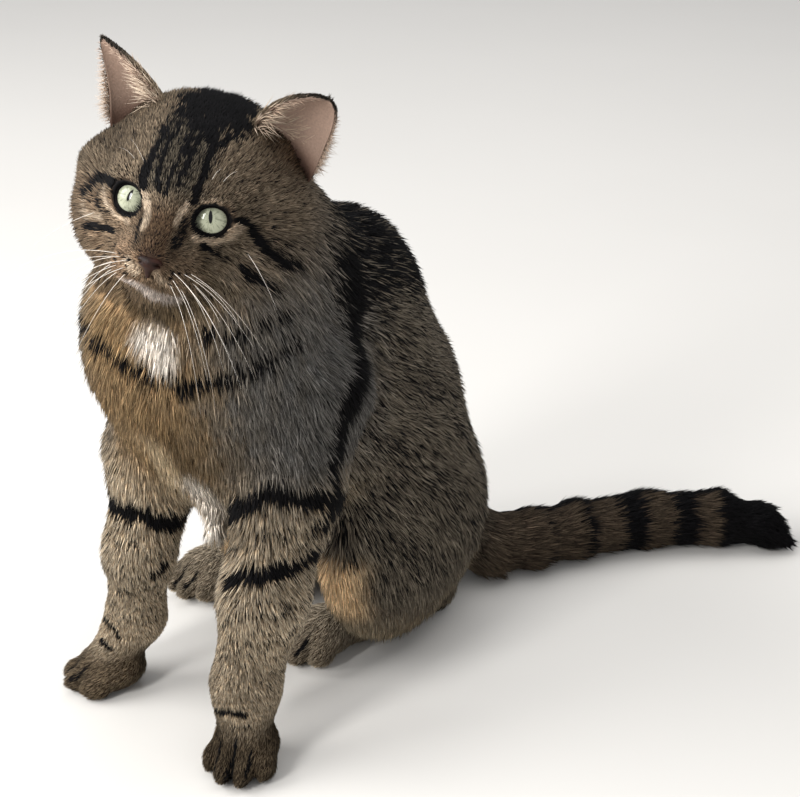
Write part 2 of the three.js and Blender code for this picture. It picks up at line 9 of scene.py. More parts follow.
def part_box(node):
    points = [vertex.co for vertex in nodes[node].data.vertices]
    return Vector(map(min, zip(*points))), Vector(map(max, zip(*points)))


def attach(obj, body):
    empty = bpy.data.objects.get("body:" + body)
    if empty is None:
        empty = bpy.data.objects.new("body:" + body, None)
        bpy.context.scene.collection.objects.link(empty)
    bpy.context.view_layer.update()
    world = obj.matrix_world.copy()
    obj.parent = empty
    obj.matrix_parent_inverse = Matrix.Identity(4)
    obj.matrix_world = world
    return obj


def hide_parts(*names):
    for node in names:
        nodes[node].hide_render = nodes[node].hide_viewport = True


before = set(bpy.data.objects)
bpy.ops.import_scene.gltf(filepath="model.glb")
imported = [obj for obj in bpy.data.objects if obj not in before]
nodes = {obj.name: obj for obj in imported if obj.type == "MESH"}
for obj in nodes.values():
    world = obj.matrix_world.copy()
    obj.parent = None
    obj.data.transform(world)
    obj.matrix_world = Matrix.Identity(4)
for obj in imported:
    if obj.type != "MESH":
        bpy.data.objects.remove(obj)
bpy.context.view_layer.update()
scene = bpy.context.scene
rng = np.random.default_rng(7)

# ---------------------------------------------------------------------------------------------
# Camera: a long lens held about half a metre above the floor, ahead of the cat and to its left,
# looking down at it.

PICTURE_WIDTH = 800
FOCAL_PIXELS = 1800

camera = bpy.data.objects.new("camera", bpy.data.cameras.new("camera"))
camera.data.sensor_width = 36
camera.data.lens = 36 * FOCAL_PIXELS / PICTURE_WIDTH
camera.data.clip_start = 0.02
camera.data.clip_end = 30
scene.collection.objects.link(camera)
scene.camera = camera
scene.view_settings.view_transform = "Standard"


def unit(v):
    v = np.asarray(v, float)
    return v / np.linalg.norm(v, axis=-1, keepdims=True)


AIM = unit([-math.sin(math.radians(35)), math.cos(math.radians(35)), -math.tan(math.radians(25))])
camera.rotation_mode = "QUATERNION"
camera.rotation_quaternion = Vector(AIM).to_track_quat("-Z", "Y")

# ---------------------------------------------------------------------------------------------
# The cat's shape, in millimetres from a point on the floor midway between the tips of the front
# paws. Round bones and muscles run into each other; the distance to them all is the body's outline
# out to the tips of the coat.


def turned(x=0.0, y=0.0, z=0.0):
    cx, cy, cz = np.cos(np.radians([x, y, z]))
    sx, sy, sz = np.sin(np.radians([x, y, z]))
    about_x = np.array([[1, 0, 0], [0, cx, -sx], [0, sx, cx]])
    about_y = np.array([[cy, 0, sy], [0, 1, 0], [-sy, 0, cy]])
    about_z = np.array([[cz, -sz, 0], [sz, cz, 0], [0, 0, 1]])
    return about_z @ about_y @ about_x


def ellipsoid(centre, radii, turn=None):
    centre = np.array(centre, np.float32)
    radii = np.array(radii, np.float32)

    def field(p):
        q = p - centre
        if turn is not None:
            q = q @ turn.astype(np.float32)
        near = np.sqrt(((q / radii) ** 2).sum(-1))
        slope = np.sqrt(((q / radii**2) ** 2).sum(-1))
        return near * (near - 1) / np.maximum(slope, 1e-9)

    return field


def round_cone(a, b, ra, rb):
    a = np.array(a, np.float32)
    b = np.array(b, np.float32)
    axis = b - a

    def field(p):
        q = p - a
        h = np.clip(q @ axis / (axis @ axis), 0, 1)
        return np.sqrt(((q - h[:, None] * axis) ** 2).sum(-1)) - (ra + (rb - ra) * h)

    return field


def blend(a, b, reach):
    h = np.maximum(reach - np.abs(a - b), 0) / reach
    return np.minimum(a, b) - h * h * reach * 0.25


def joined(shapes):
    def field(p):
        d = None
        for reach, shape in shapes:
            d = shape(p) if d is None else blend(d, shape(p), reach)
        return d

    return field


def step(low, high, x):
    t = np.clip((x - low) / (high - low), 0, 1)
    return t * t * (3 - 2 * t)


HEAD_AT = np.array([0.0, 45.0, 283.0])
HEAD_TURN = turned(z=23.9) @ turned(x=-6.3) @ turned(y=11.3)


def to_head(p):
    return (p - HEAD_AT) @ HEAD_TURN


def from_head(q):
    return q @ HEAD_TURN.T + HEAD_AT


GAZE = unit([0.26, -0.95, 0.15])
EYE_RADIUS = 10.8
EYE_AT = np.array([20.6, -38.6, 0.7]) - EYE_RADIUS * GAZE
NOSE_AT = np.array([0.0, -56.2, -21.5])

FORELEGS = {
    "left": dict(
        shoulder=(48, 66, 185),
        elbow=(51, 46, 140),
        forearm=(55, 20, 90),
        wrist=(50, 10, 42),
        knuckle=(57, -2, 12),
        points=(7, -21, 0),
        radii=(37, 28, 23, 18),
    ),
    "right": dict(
        shoulder=(-28, 66, 185),
        elbow=(-33, 46, 140),
        forearm=(-34, 26, 85),
        wrist=(-41, 27, 42),
        knuckle=(-52, 13, 12),
        points=(-15, -15, 0),
        radii=(38, 29, 19.5, 16),
    ),
}
HIND_LEGS = {
    "left": dict(thigh=(51, 144, 67), heel=(44, 182, 15), knuckle=(23, 103, 13), splay=-4),
    "right": dict(thigh=(-38, 154, 68), heel=(-44, 208, 15), knuckle=(-73, 121, 13), splay=6),
}
for leg in HIND_LEGS.values():
    leg["points"] = (leg["knuckle"][0] - leg["heel"][0], leg["knuckle"][1] - leg["heel"][1], 0)
TOES = ((-14, 6), (-5, 14), (5, 14), (14, 6))
TAIL = [
    ((15, 222, 44), 25),
    ((34, 226, 29), 22),
    ((53, 235, 20), 20.5),
    ((68, 254, 18.5), 20),
    ((85, 280, 18), 19.5),
    ((113, 316, 18), 19.5),
    ((150, 346, 17.5), 19),
    ((174, 359, 15), 16),
    ((190, 362, 8), 7.5),
]

trunk = joined(
    [
        (0, ellipsoid((9, 181, 67), (68, 63, 67))),
        (30, ellipsoid((10, 156, 122), (64, 62, 78), turned(x=-24))),
        (30, ellipsoid((10, 124, 174), (61, 58, 84), turned(x=-28))),
        (26, ellipsoid((4, 50, 182), (62, 44, 62), turned(x=-8))),
        (26, ellipsoid((8, 99, 215), (57, 52, 47))),
        (14, round_cone((8, 50, 145), (14, 33, 112), 24, 9)),
    ]
)
neck = joined(
    [
        (0, ellipsoid((0, 54, 232), (64, 56, 48))),
        (20, ellipsoid((0, 34, 206), (61, 46, 50))),
        (20, ellipsoid((8, 78, 254), (46, 44, 42))),
    ]
)
half_skull = joined(
    [
        (0, ellipsoid((0, 10, 7), (50, 48, 42))),
        (12, ellipsoid((0, -12, 6), (40, 31, 32))),
        (14, ellipsoid((33, 12, -14), (30, 36, 31))),
        (12, ellipsoid((26, -12, -22), (24, 24, 22))),
        (12, ellipsoid((0, -8, -30), (34, 34, 20))),
        (10, round_cone((0, -22, -18), (0, -36, -22), 28, 20)),
        (8, round_cone((0, -29, 9), (0, -50.5, -16), 11, 7)),
        (5, ellipsoid((10, -42.5, -28), (12.5, 13, 10))),
        (5, ellipsoid((0, -38, -38.5), (13, 12.5, 8))),
        (7, ellipsoid((21, -25, 13), (14, 12, 7))),
        (10, ellipsoid((42, -2, 5), (17, 20, 15))),
        (4, ellipsoid(EYE_AT, (12, 12, 12))),
    ]
)


def folded(q):
    q = np.array(q, np.float32)
    q[:, 0] = np.abs(q[:, 0])
    return q


def paw(knuckle, points):
    points = unit(points)
    knuckle = np.array(knuckle, float)
    aside = np.array([-points[1], points[0], 0])
    foot = turned(z=math.degrees(math.atan2(points[0], -points[1])))
    toes = []
    for side, ahead in TOES:
        at = knuckle + points * ahead + aside * side - (0, 0, 4)
        toes.append((3, ellipsoid(at, (6.2, 9.5, 8.2), foot)))
    return joined([(0, ellipsoid(knuckle - 3 * points, (18, 19, 13), foot))] + toes)


def foreleg(leg):
    shoulder, elbow, forearm, wrist = leg["radii"]
    return joined(
        [
            (0, round_cone(leg["shoulder"], leg["elbow"], shoulder, elbow)),
            (16, round_cone(leg["elbow"], leg["forearm"], elbow, forearm)),
            (10, round_cone(leg["forearm"], leg["wrist"], forearm, wrist)),
            (10, round_cone(leg["wrist"], leg["knuckle"], wrist, 13)),
            (6, paw(leg["knuckle"], leg["points"])),
        ]
    )


def thigh(leg):
    return ellipsoid(leg["thigh"], (31, 62, 61), turned(x=-25, z=leg["splay"]))


def hind_foot(leg):
    shin = round_cone(leg["heel"], leg["knuckle"], 19, 14)
    return joined([(0, shin), (6, paw(leg["knuckle"], leg["points"]))])


PARTS = {
    "trunk": (0, trunk),
    "neck": (24, neck),
    "thigh_left": (12, thigh(HIND_LEGS["left"])),
    "hind_left": (8, hind_foot(HIND_LEGS["left"])),
    "fore_left": (12, foreleg(FORELEGS["left"])),
    "thigh_right": (12, thigh(HIND_LEGS["right"])),
    "hind_right": (8, hind_foot(HIND_LEGS["right"])),
    "fore_right": (12, foreleg(FORELEGS["right"])),
    "tail": (10, joined([(6, round_cone(a, b, ra, rb)) for (a, ra), (b, rb) in zip(TAIL, TAIL[1:])])),
    "skull": (10, lambda p: half_skull(folded(to_head(p)))),
}


def measure(p):
    return {name: part(p) for name, (_, part) in PARTS.items()}


def outline(distances):
    whole = None
    for name, (reach, _) in PARTS.items():
        d = distances[name]
        whole = d if whole is None else blend(whole, d, reach)
    return whole


# The nearest part counts most, and its neighbours a little, so that nothing changes at a hard line.
def shares(distances, soft=6.0):
    stack = np.stack([distances[name] for name in PARTS])
    weight = np.exp(-(stack - stack.min(0)) / soft)
    weight /= weight.sum(0)
    return dict(zip(PARTS, weight))


def coat_depth(p, share):
    z = p[:, 2]
    q = folded(to_head(p))
    fore = 1.4 + 1.2 * step(18, 55, z) + 2.4 * step(60, 150, z)
    hind = 1.4 + 1.0 * step(16, 30, z)
    face = 0.9 + 3.0 * step(12, 62, np.linalg.norm(q - (0, -52, -14), axis=1))
    face = 0.3 + (face - 0.3) * step(12.6, 20, np.linalg.norm(q - EYE_AT, axis=1))
    depth = {"trunk": 4.8, "neck": 5.8, "thigh": 4.8, "hind": hind, "fore": fore, "tail": 4.6, "skull": face}
    return sum(weight * depth[name.split("_")[0]] for name, weight in share.items())


# ---------------------------------------------------------------------------------------------
# Skin: the one hide under the coat, with the lids, lips and toes. It is the body's shape drawn in by
# the depth of the coat, meshed in one piece.

GRID = 1.3  # spacing of the samples
BLOCK = 4  # samples along each block, of which only those near the surface are worked out
GRID_LOW = np.array([-92.0, -36.0, -5.0])
GRID_HIGH = np.array([208.0, 392.0, 336.0])

EYE_ACROSS = unit(np.cross((0, 0, 1), GAZE))
EYE_ACROSS *= np.sign(EYE_ACROSS[0])
EYE_UP = unit(np.cross(GAZE, EYE_ACROSS))
EYE_UP *= np.sign(EYE_UP[2])
LID_TILT = math.radians(10)  # the outer corner sits higher than the inner one
EYE_ACROSS, EYE_UP = (
    EYE_ACROSS * math.cos(LID_TILT) + EYE_UP * math.sin(LID_TILT),
    EYE_UP * math.cos(LID_TILT) - EYE_ACROSS * math.sin(LID_TILT),
)
LID_HALF = (8.2, 7.25)
MOUTH = [(0, -55.5, -29), (0, -53.5, -33.2), (5, -53, -35), (11, -50.2, -35.2), (17, -45.5, -34), (22, -39, -33)]


# Below 1 inside the opening between the lids, for points of the folded head.
def lid_ratio(q):
    r = q - EYE_AT
    across = r @ EYE_ACROSS
    up = r @ EYE_UP
    ratio = np.sqrt((across / LID_HALF[0]) ** 2 + (up / LID_HALF[1]) ** 2)
    return np.where(r @ GAZE > 0, ratio, 9.0)


def skin_field(p):
    distances = measure(p)
    skin = outline(distances) + coat_depth(p, shares(distances))
    q = folded(to_head(p))
    opening = (lid_ratio(q) - 1.0) * LID_HALF[1]
    skin = np.maximum(skin, -opening)
    skin = np.maximum(skin, EYE_RADIUS + 0.15 - np.linalg.norm(q - EYE_AT, axis=1))
    for a, b in zip(MOUTH, MOUTH[1:]):
        skin = -blend(-skin, round_cone(a, b, 0.9, 0.9)(q), 1.5)
    return np.maximum(skin, 0.3 - p[:, 2])


def mesh_of(field):
    size = np.ceil((GRID_HIGH - GRID_LOW) / (GRID * BLOCK)).astype(int)
    centres = np.stack(np.meshgrid(*[np.arange(n) for n in size], indexing="ij"), -1).reshape(-1, 3)
    middle = GRID_LOW + (centres + 0.5 - 0.5 / BLOCK) * GRID * BLOCK
    rough = field(middle.astype(np.float32))
    values = np.repeat(np.clip(rough, -3 * GRID, 3 * GRID), BLOCK**3)
    near = np.abs(rough) < 1.6 * GRID * BLOCK
    inside = np.stack(np.meshgrid(*[np.arange(BLOCK)] * 3, indexing="ij"), -1).reshape(-1, 3)
    for few in np.array_split(np.flatnonzero(near), 24):
        p = GRID_LOW + (centres[few, None] * BLOCK + inside) * GRID
        exact = field(p.reshape(-1, 3).astype(np.float32))
        values.reshape(-1, BLOCK**3)[few] = np.clip(exact, -3 * GRID, 3 * GRID).reshape(len(few), -1)
    values = values.reshape(*size, BLOCK, BLOCK, BLOCK).transpose(0, 3, 1, 4, 2, 5)
    grid = openvdb.FloatGrid(3.0)
    grid.copyFromArray(np.ascontiguousarray(values.reshape(size * BLOCK)) / np.float32(GRID))
    points, triangles, quads = grid.convertToPolygons(0.0, 0.015)
    quads = quads.astype(np.int64)
    halves = [quads[:, [0, 1, 2]], quads[:, [0, 2, 3]]]
    return GRID_LOW + points * GRID, np.concatenate([triangles.astype(np.int64)] + halves)


skin_points, skin_triangles = mesh_of(skin_field)

# Each ear is a curled sheet of gristle, bent back on itself along both edges, with the hollow to the
# front. The tips of the sheet's rings shrink towards the ear's point.

EAR = dict(base=(36, 8, 25), tip=(57, 0, 62), across=(0.8, 0.36, -0.47), half=21, deep=14, tip_radius=1.8)
EAR_WALL = dict(side=1.8, back=3.8, bow=3)
EAR_INSET = 0.5  # the short coat on the back of the ear
EAR_ROOT = -0.3
EAR_PEAK = {1: 0.95, -1: 1.0}  # the left ear is blunter than the right
EAR_EDGE = 0.42 * math.pi
EAR_STATIONS = 30
EAR_POINTS = 22


def ear_axes(side):
    mirror = np.array([side, 1, 1])
    base = EAR["base"] * mirror
    up = EAR["tip"] * mirror - base
    height = np.linalg.norm(up)
    up = up / height
    across = EAR["across"] * mirror
    across = unit(across - up * (across @ up))
    front = np.cross(across, up)
    front = front if front[1] < 0 else -front
    return base, up, height, across, front


def ear_sheet(side):
    base, up, height, across, front = ear_axes(side)
    rings = []
    for t in np.linspace(EAR_ROOT, EAR_PEAK[side], EAR_STATIONS + 1):
        taper = max(1 - t, 0) ** 0.8
        if side > 0:
            taper = 0.98 * max(1 - (max(t, 0) / EAR_PEAK[side]) ** 2.1, 0) ** 0.62 + max(-t, 0) * 0.3
        half = EAR["tip_radius"] + (EAR["half"] - EAR["tip_radius"]) * taper
        deep = EAR["tip_radius"] + (EAR["deep"] - EAR["tip_radius"]) * taper
        shift = -EAR_WALL["bow"] * math.sin(math.pi * min(max(t, 0), 1))
        wall = min(EAR_WALL["side"], half * 0.6)
        back = min(EAR_WALL["back"], deep * 1.2)
        a = np.linspace(-EAR_EDGE, EAR_EDGE, EAR_POINTS + 1)
        outer_x = (half - EAR_INSET) * np.sin(a)
        outer_y = -(deep - EAR_INSET) * np.cos(a)
        inner_x = (half - wall) * np.sin(a[::-1])
        inner_y = -deep * np.cos(a[::-1]) + back * np.cos(a[::-1] / 2) ** 2
        x = np.concatenate([outer_x, inner_x]) + shift
        y = np.concatenate([outer_y, inner_y])
        rings.append(base + up * t * height + x[:, None] * across + y[:, None] * front)
    n = len(rings[0])
    faces = []
    for s in range(EAR_STATIONS):
        for i in range(n):
            a, b = s * n + i, s * n + (i + 1) % n
            faces += [(a, b, b + n), (a, b + n, a + n)]
    last = EAR_STATIONS * n
    for i in range(n // 2 - 1):
        a, b, c, d = i, i + 1, n - 2 - i, n - 1 - i
        faces += [(a, d, c), (a, c, b), (last + a, last + c, last + d), (last + a, last + b, last + c)]
    points = np.concatenate(rings)
    faces = np.array(faces)
    corners = points[faces]
    volume = (corners[:, 0] * np.cross(corners[:, 1], corners[:, 2])).sum()
    if volume < 0:
        faces = faces[:, ::-1]
    hollow = np.tile(np.arange(n) > EAR_POINTS, EAR_STATIONS + 1)
    level = np.repeat(np.linspace(EAR_ROOT, 1, EAR_STATIONS + 1), n)
    return from_head(points), faces, hollow, level


# The margin of the lids is a bare dark rim, thicker at the inner corner.
RIM_STEPS = 64
RIM_SIDES = 8


def lid_rim(side):
    turns = np.linspace(0, 2 * math.pi, RIM_STEPS, endpoint=False)
    inward = np.maximum(-np.cos(turns), 0) ** 6
    across = LID_HALF[0] * np.cos(turns) * (1 + 0.22 * inward)
    up = LID_HALF[1] * np.sin(turns) - 2.4 * inward
    flat = across[:, None] * EYE_ACROSS + up[:, None] * EYE_UP
    reach = EYE_RADIUS + 0.35
    ahead = np.sqrt(np.maximum(reach**2 - across**2 - up**2, 4.0))
    path = flat + ahead[:, None] * GAZE
    outward = unit(path)
    along = unit(np.roll(path, -1, axis=0) - np.roll(path, 1, axis=0))
    beside = np.cross(along, outward)
    width = 1.6 + 1.1 * inward + 0.25 * np.maximum(-np.sin(turns), 0)
    height = 0.85 + 0.25 * inward
    a = np.linspace(0, 2 * math.pi, RIM_SIDES, endpoint=False)[None, :, None]
    ring = path[:, None] + beside[:, None] * np.cos(a) * width[:, None, None]
    ring = ring + outward[:, None] * np.sin(a) * height[:, None, None]
    points = (ring.reshape(-1, 3) + EYE_AT) * (side, 1, 1)
    faces = []
    for s in range(RIM_STEPS):
        for i in range(RIM_SIDES):
            a0, b0 = s * RIM_SIDES + i, s * RIM_SIDES + (i + 1) % RIM_SIDES
            a1, b1 = [(v + RIM_SIDES) % (RIM_STEPS * RIM_SIDES) for v in (a0, b0)]
            faces += [(a0, b0, b1), (a0, b1, a1)]
    faces = np.array(faces)
    corners = points[faces] - EYE_AT * (side, 1, 1)
    volume = (corners[:, 0] * np.cross(corners[:, 1], corners[:, 2])).sum()
    if volume < 0:
        faces = faces[:, ::-1]
    return from_head(points), faces


# ---------------------------------------------------------------------------------------------
# Colours of a brown mackerel tabby: its markings, with painted shade in folds and hollows and painted light on
# the right of the face. Every hair has a dark root, a middle and a tip, and the same function of place colours the skin
# and the coat.


def linear(code):
    value = np.array([int(code[i : i + 2], 16) for i in (0, 2, 4)]) / 255
    return np.where(value <= 0.04045, value / 12.92, ((value + 0.055) / 1.055) ** 2.4)


def hair(root, middle, tip):
    return np.stack([linear(root), linear(middle), linear(tip)])


AGOUTI = hair("1b1713", "584f45", "938978")
SHOULDER = hair("20201f", "514f4c", "8a8681")
BUFF = hair("6f5a42", "c2a884", "e6d5b6")
TAN = hair("3e2c1c", "866a4a", "b0966f")
WHITE = hair("b8aa97", "ebe0d2", "f7f0e6")
LEG = hair("382d22", "98846a", "d8cab3")
TOE = hair("17110b", "3a2f23", "7b6c57")
TAIL_GREY = hair("13100c", "382e26", "625545")
FACE = hair("1b150f", "5a4b3d", "93836d")
FOREHEAD = hair("0d0b09", "28221c", "776d5d")
MUZZLE = hair("32251a", "785f49", "a68d74")
BRIDGE = hair("1f160e", "46352a", "6f5a43")
PALE = hair("6a5847", "a48f78", "c9b7a0")
LIP = hair("7d7068", "c3b4aa", "e6dbd3")
BLACK = hair("040404", "090809", "151415")
EAR_BACK = hair("100e0c", "2a2621", "4b443b")


def wobble(p, size, seed):
    spins = np.random.default_rng(seed)
    total = np.zeros(len(p))
    for _ in range(7):
        wave = unit(spins.normal(size=3)) * 2 * math.pi / size * spins.uniform(0.6, 1.5)
        total += np.sin(p @ wave + spins.uniform(0, 6.3))
    return total / 3.2


# How far p is inside a band of the given half width along a bent line, from 0 to 1.
def streak(p, line, half, soft=1.0):
    best = np.full(len(p), 1e9)
    for a, b in zip(line, line[1:]):
        best = np.minimum(best, round_cone(a, b, 0, 0)(p))
    return 1 - step(half - soft, half + soft, best)


def level_band(z, middle, half, soft=1.6):
    return 1 - step(half - soft, half + soft, np.abs(z - middle))


TAIL_POINTS = np.array([at for at, _ in TAIL], float)
TAIL_LENGTHS = np.linalg.norm(np.diff(TAIL_POINTS, axis=0), axis=1)
TAIL_STARTS = np.concatenate([[0], np.cumsum(TAIL_LENGTHS)])


def along_tail(p):
    best = np.full(len(p), 1e9)
    place = np.zeros(len(p))
    heading = np.zeros((len(p), 3))
    for i, length in enumerate(TAIL_LENGTHS):
        a = TAIL_POINTS[i]
        axis = (TAIL_POINTS[i + 1] - a) / length
        run = np.clip((p - a) @ axis, 0, length)
        gap = np.linalg.norm(p - a - run[:, None] * axis, axis=1)
        closer = gap < best
        best = np.where(closer, gap, best)
        place = np.where(closer, TAIL_STARTS[i] + run, place)
        heading[closer] = axis
    return place, heading


NECKLACE = [(-62, 40, 228), (-46, 6, 222), (-26.1, -7.5, 217.6), (-15.4, -10.4, 217.1), (-4.4, -12, 214.2)]
NECKLACE += [(8.1, -11.9, 212.1), (21.4, -9.5, 208.5), (30.9, -6.2, 207.7), (39.5, -1.7, 210.8)]
NECKLACE += [(48.9, 5.3, 212.2), (56.7, 14.4, 215.5), (61.7, 23.2, 217.2), (66.5, 40.1, 222.1)]
WRIST_LINES = (
    ([(47, 0, 105), (55, 3, 111.7), (65.5, 7.2, 113.2), (74.7, 17.5, 113.6)], 4.8, 0.95),
    ([(74.7, 17.5, 113.6), (78.3, 28.8, 113.9), (77, 42, 110)], 3.6, 0.9),
    ([(76.4, 23.6, 122.5), (80, 33.4, 124.7), (81.2, 37.6, 127.7)], 2.2, 0.6),
    ([(51, -5, 77.6), (59.1, -4.2, 73.2), (63.5, -2.2, 66.8)], 1.5, 0.6),
    ([(76.3, 13.9, 74.7), (79.3, 18.4, 82.2)], 2.2, 0.6),
    ([(43.1, -8.7, 31.5), (55, -10.7, 37.3), (62.2, -7.7, 36.1)], 1.8, 0.8),
    ([(43.6, -8.1, 25.3), (56.4, -11.3, 28.6), (65.1, -6.2, 29.2)], 1.3, 0.6),
    ([(-15.2, 15.9, 79.9), (-13.3, 20.1, 80.3), (-12.2, 23.7, 82.6)], 2.8, 0.8),
    ([(-30.7, 5.8, 93.4), (-24.8, 7.9, 94.3)], 1.5, 0.6),
    ([(-36.7, 8.1, 66), (-25.3, 11.2, 67.2), (-17.8, 18.6, 69.8)], 1.8, 0.55),
    ([(-51.9, 11.1, 43), (-41, 8, 42.3), (-37.4, 8.2, 35.9)], 1.8, 0.8),
    ([(-51, 8.5, 31.5), (-45.9, 5.9, 30.8), (-40.9, 6.7, 29.1)], 1.6, 0.8),
)
COLLAR = [(39.4, 3.7, 235.3), (46.8, 9.2, 234.2), (54.4, 18.3, 234.9), (62.1, 38.7, 239.4)]
SHOULDER_LINE = [(58.3, 96.7, 248.5), (65.9, 91, 227), (77, 80, 205), (84, 61.5, 192.5)]
SHOULDER_LINE += [(82.6, 54.9, 178.5), (81.8, 50.7, 161), (82.5, 45.5, 140)]
MIRROR_PLANE = 22  # the two shoulders are alike about x = 11
CREAM_LINES = (
    ([(-15.1, -41.8, 8.5), (-9.8, -44.4, 2.7), (-7.3, -48, -2), (-8, -50.4, -7)], 2.0),
    ([(8.8, -44.2, 6.7), (7.3, -46, 2.4), (6.9, -48.3, -2)], 1.3),
    ([(-35.2, -30.8, -0.7), (-30.4, -34.5, -6.4), (-23.1, -38.2, -9.5), (-17.6, -42.1, -9)], 1.2),
    ([(15.4, -42.8, -8.2), (20, -39.8, -9.5), (24.9, -37.7, -8.6), (29.6, -35.4, -5.5), (33, -33.1, -1)], 2.0),
    ([(14.5, -42, 8.7), (19.5, -40.6, 10.7), (24, -39.1, 10.1)], 0.8),
    ([(-47, -25, -12.5), (-42.1, -30.1, -15), (-33.3, -34.5, -13.1)], 1.6),
    ([(37.8, -32.4, -11.2), (45.4, -29.1, -14.9), (53.6, -23.8, -19)], 1.6),
    ([(-10.3, -55.3, -23.4), (-6, -56.1, -26.9)], 2.4),
    ([(2, -56.7, -24.5), (6.2, -55.9, -28), (10.1, -55.8, -28.4)], 1.7),
)
LIP_LINE = [(-13, -50, -33), (-6.7, -53.6, -34.5), (1.6, -51.5, -37.9), (8.7, -50.1, -39.2), (14.6, -48.6, -39)]
INK_LINES = (
    ([(-13.1, -42.4, 9.1), (-15.2, -41.2, 13.6), (-14.5, -39.5, 19.7)], 1.9, 1.0),
    ([(-14.5, -39.5, 19.7), (-13.1, -36.6, 25.7), (-11.9, -32.8, 31), (-14, -25.2, 36.8)], 1.6, 0.95),
    ([(-5.3, -44.4, 10.2), (-8, -41.7, 17.5), (-8.5, -38.2, 24.8), (-8.2, -32.8, 32), (-7.9, -25.1, 38.3)], 1.2, 0.9),
    ([(-1.3, -45.5, 8.6), (-1.8, -43.2, 15.7), (-0.6, -40.3, 22.5), (0.2, -36.1, 29.1), (1.1, -30.1, 35.3)], 1.0, 0.85),
    ([(2.5, -43.7, 14), (3.8, -40.3, 22.2), (4.6, -35.1, 30), (4.7, -27.4, 37.2)], 1.2, 0.9),
    ([(11.6, -42.9, 8.5), (12.1, -41.9, 13.8), (12.9, -39.4, 20.7), (12.9, -35.4, 27.5)], 1.6, 1.0),
    ([(12.9, -35.4, 27.5), (12.5, -30, 33.5), (10.4, -22.1, 39.6)], 1.7, 0.95),
    ([(17, -36.8, 23.1), (17.3, -30.2, 31.4), (17.6, -21.9, 37.6)], 0.9, 0.6),
    ([(29.1, -35.6, 3.4), (34.5, -31.1, 1.4), (38.9, -28.6, -2.5)], 1.2, 0.95),
    ([(38.9, -28.6, -2.5), (43.4, -27.2, -7.5), (49.8, -23.9, -12), (56.3, -18.4, -14.7), (62, -12.2, -16.3)], 2.2, 1.0),
    ([(35.2, -30.5, 1.9), (43.1, -24.8, -1.7), (51.7, -19.5, -7.7), (58.5, -12, -9.2)], 0.9, 0.55),
    ([(19.4, -40.8, -12.1), (28.3, -37.1, -16), (36.9, -35.1, -18.1)], 1.3, 1.0),
    ([(36.9, -35.1, -18.1), (44.1, -33.1, -22.7), (51.5, -29.3, -25.7), (59.3, -23.6, -27.6)], 1.9, 1.0),
    ([(24.1, -37.6, -11.2), (32.6, -34.2, -9.7), (38.5, -30.6, -7.5)], 0.9, 0.6),
    ([(33, -37, -30), (42, -33, -33), (52, -26, -34)], 1.2, 0.5),
    # The line from the inner corner of the left eye down beside the nose is partly a dark tear line in the fur and
    # partly painted shade in the hollow beside the bridge.
    ([(10.2, -45.4, -1.8), (10.1, -48.2, -7), (8.8, -52.3, -11.1)], 1.9, 0.72),
    ([(-28.4, -36.2, 5.7), (-35.9, -29.7, 3.8), (-41.9, -24.6, 1.7), (-45.2, -23.2, -3), (-49.5, -20.3, -7.7)], 1.7, 1.0),
    ([(-40.3, -28.5, -5.5), (-36.5, -32, -8.6), (-30.6, -34.9, -10.3)], 1.3, 0.75),
    ([(-41.4, -31.1, -20.1), (-34.8, -34.7, -18.9), (-25.9, -37.3, -15.9)], 1.9, 0.95),
    ([(-10.8, -47, -6.1), (-10.5, -50, -10.2), (-9.6, -53.3, -14.5)], 1.3, 0.7),
    ([(-23.4, -40.7, -23.3), (-18, -47, -22)], 1.2, 0.8),
)


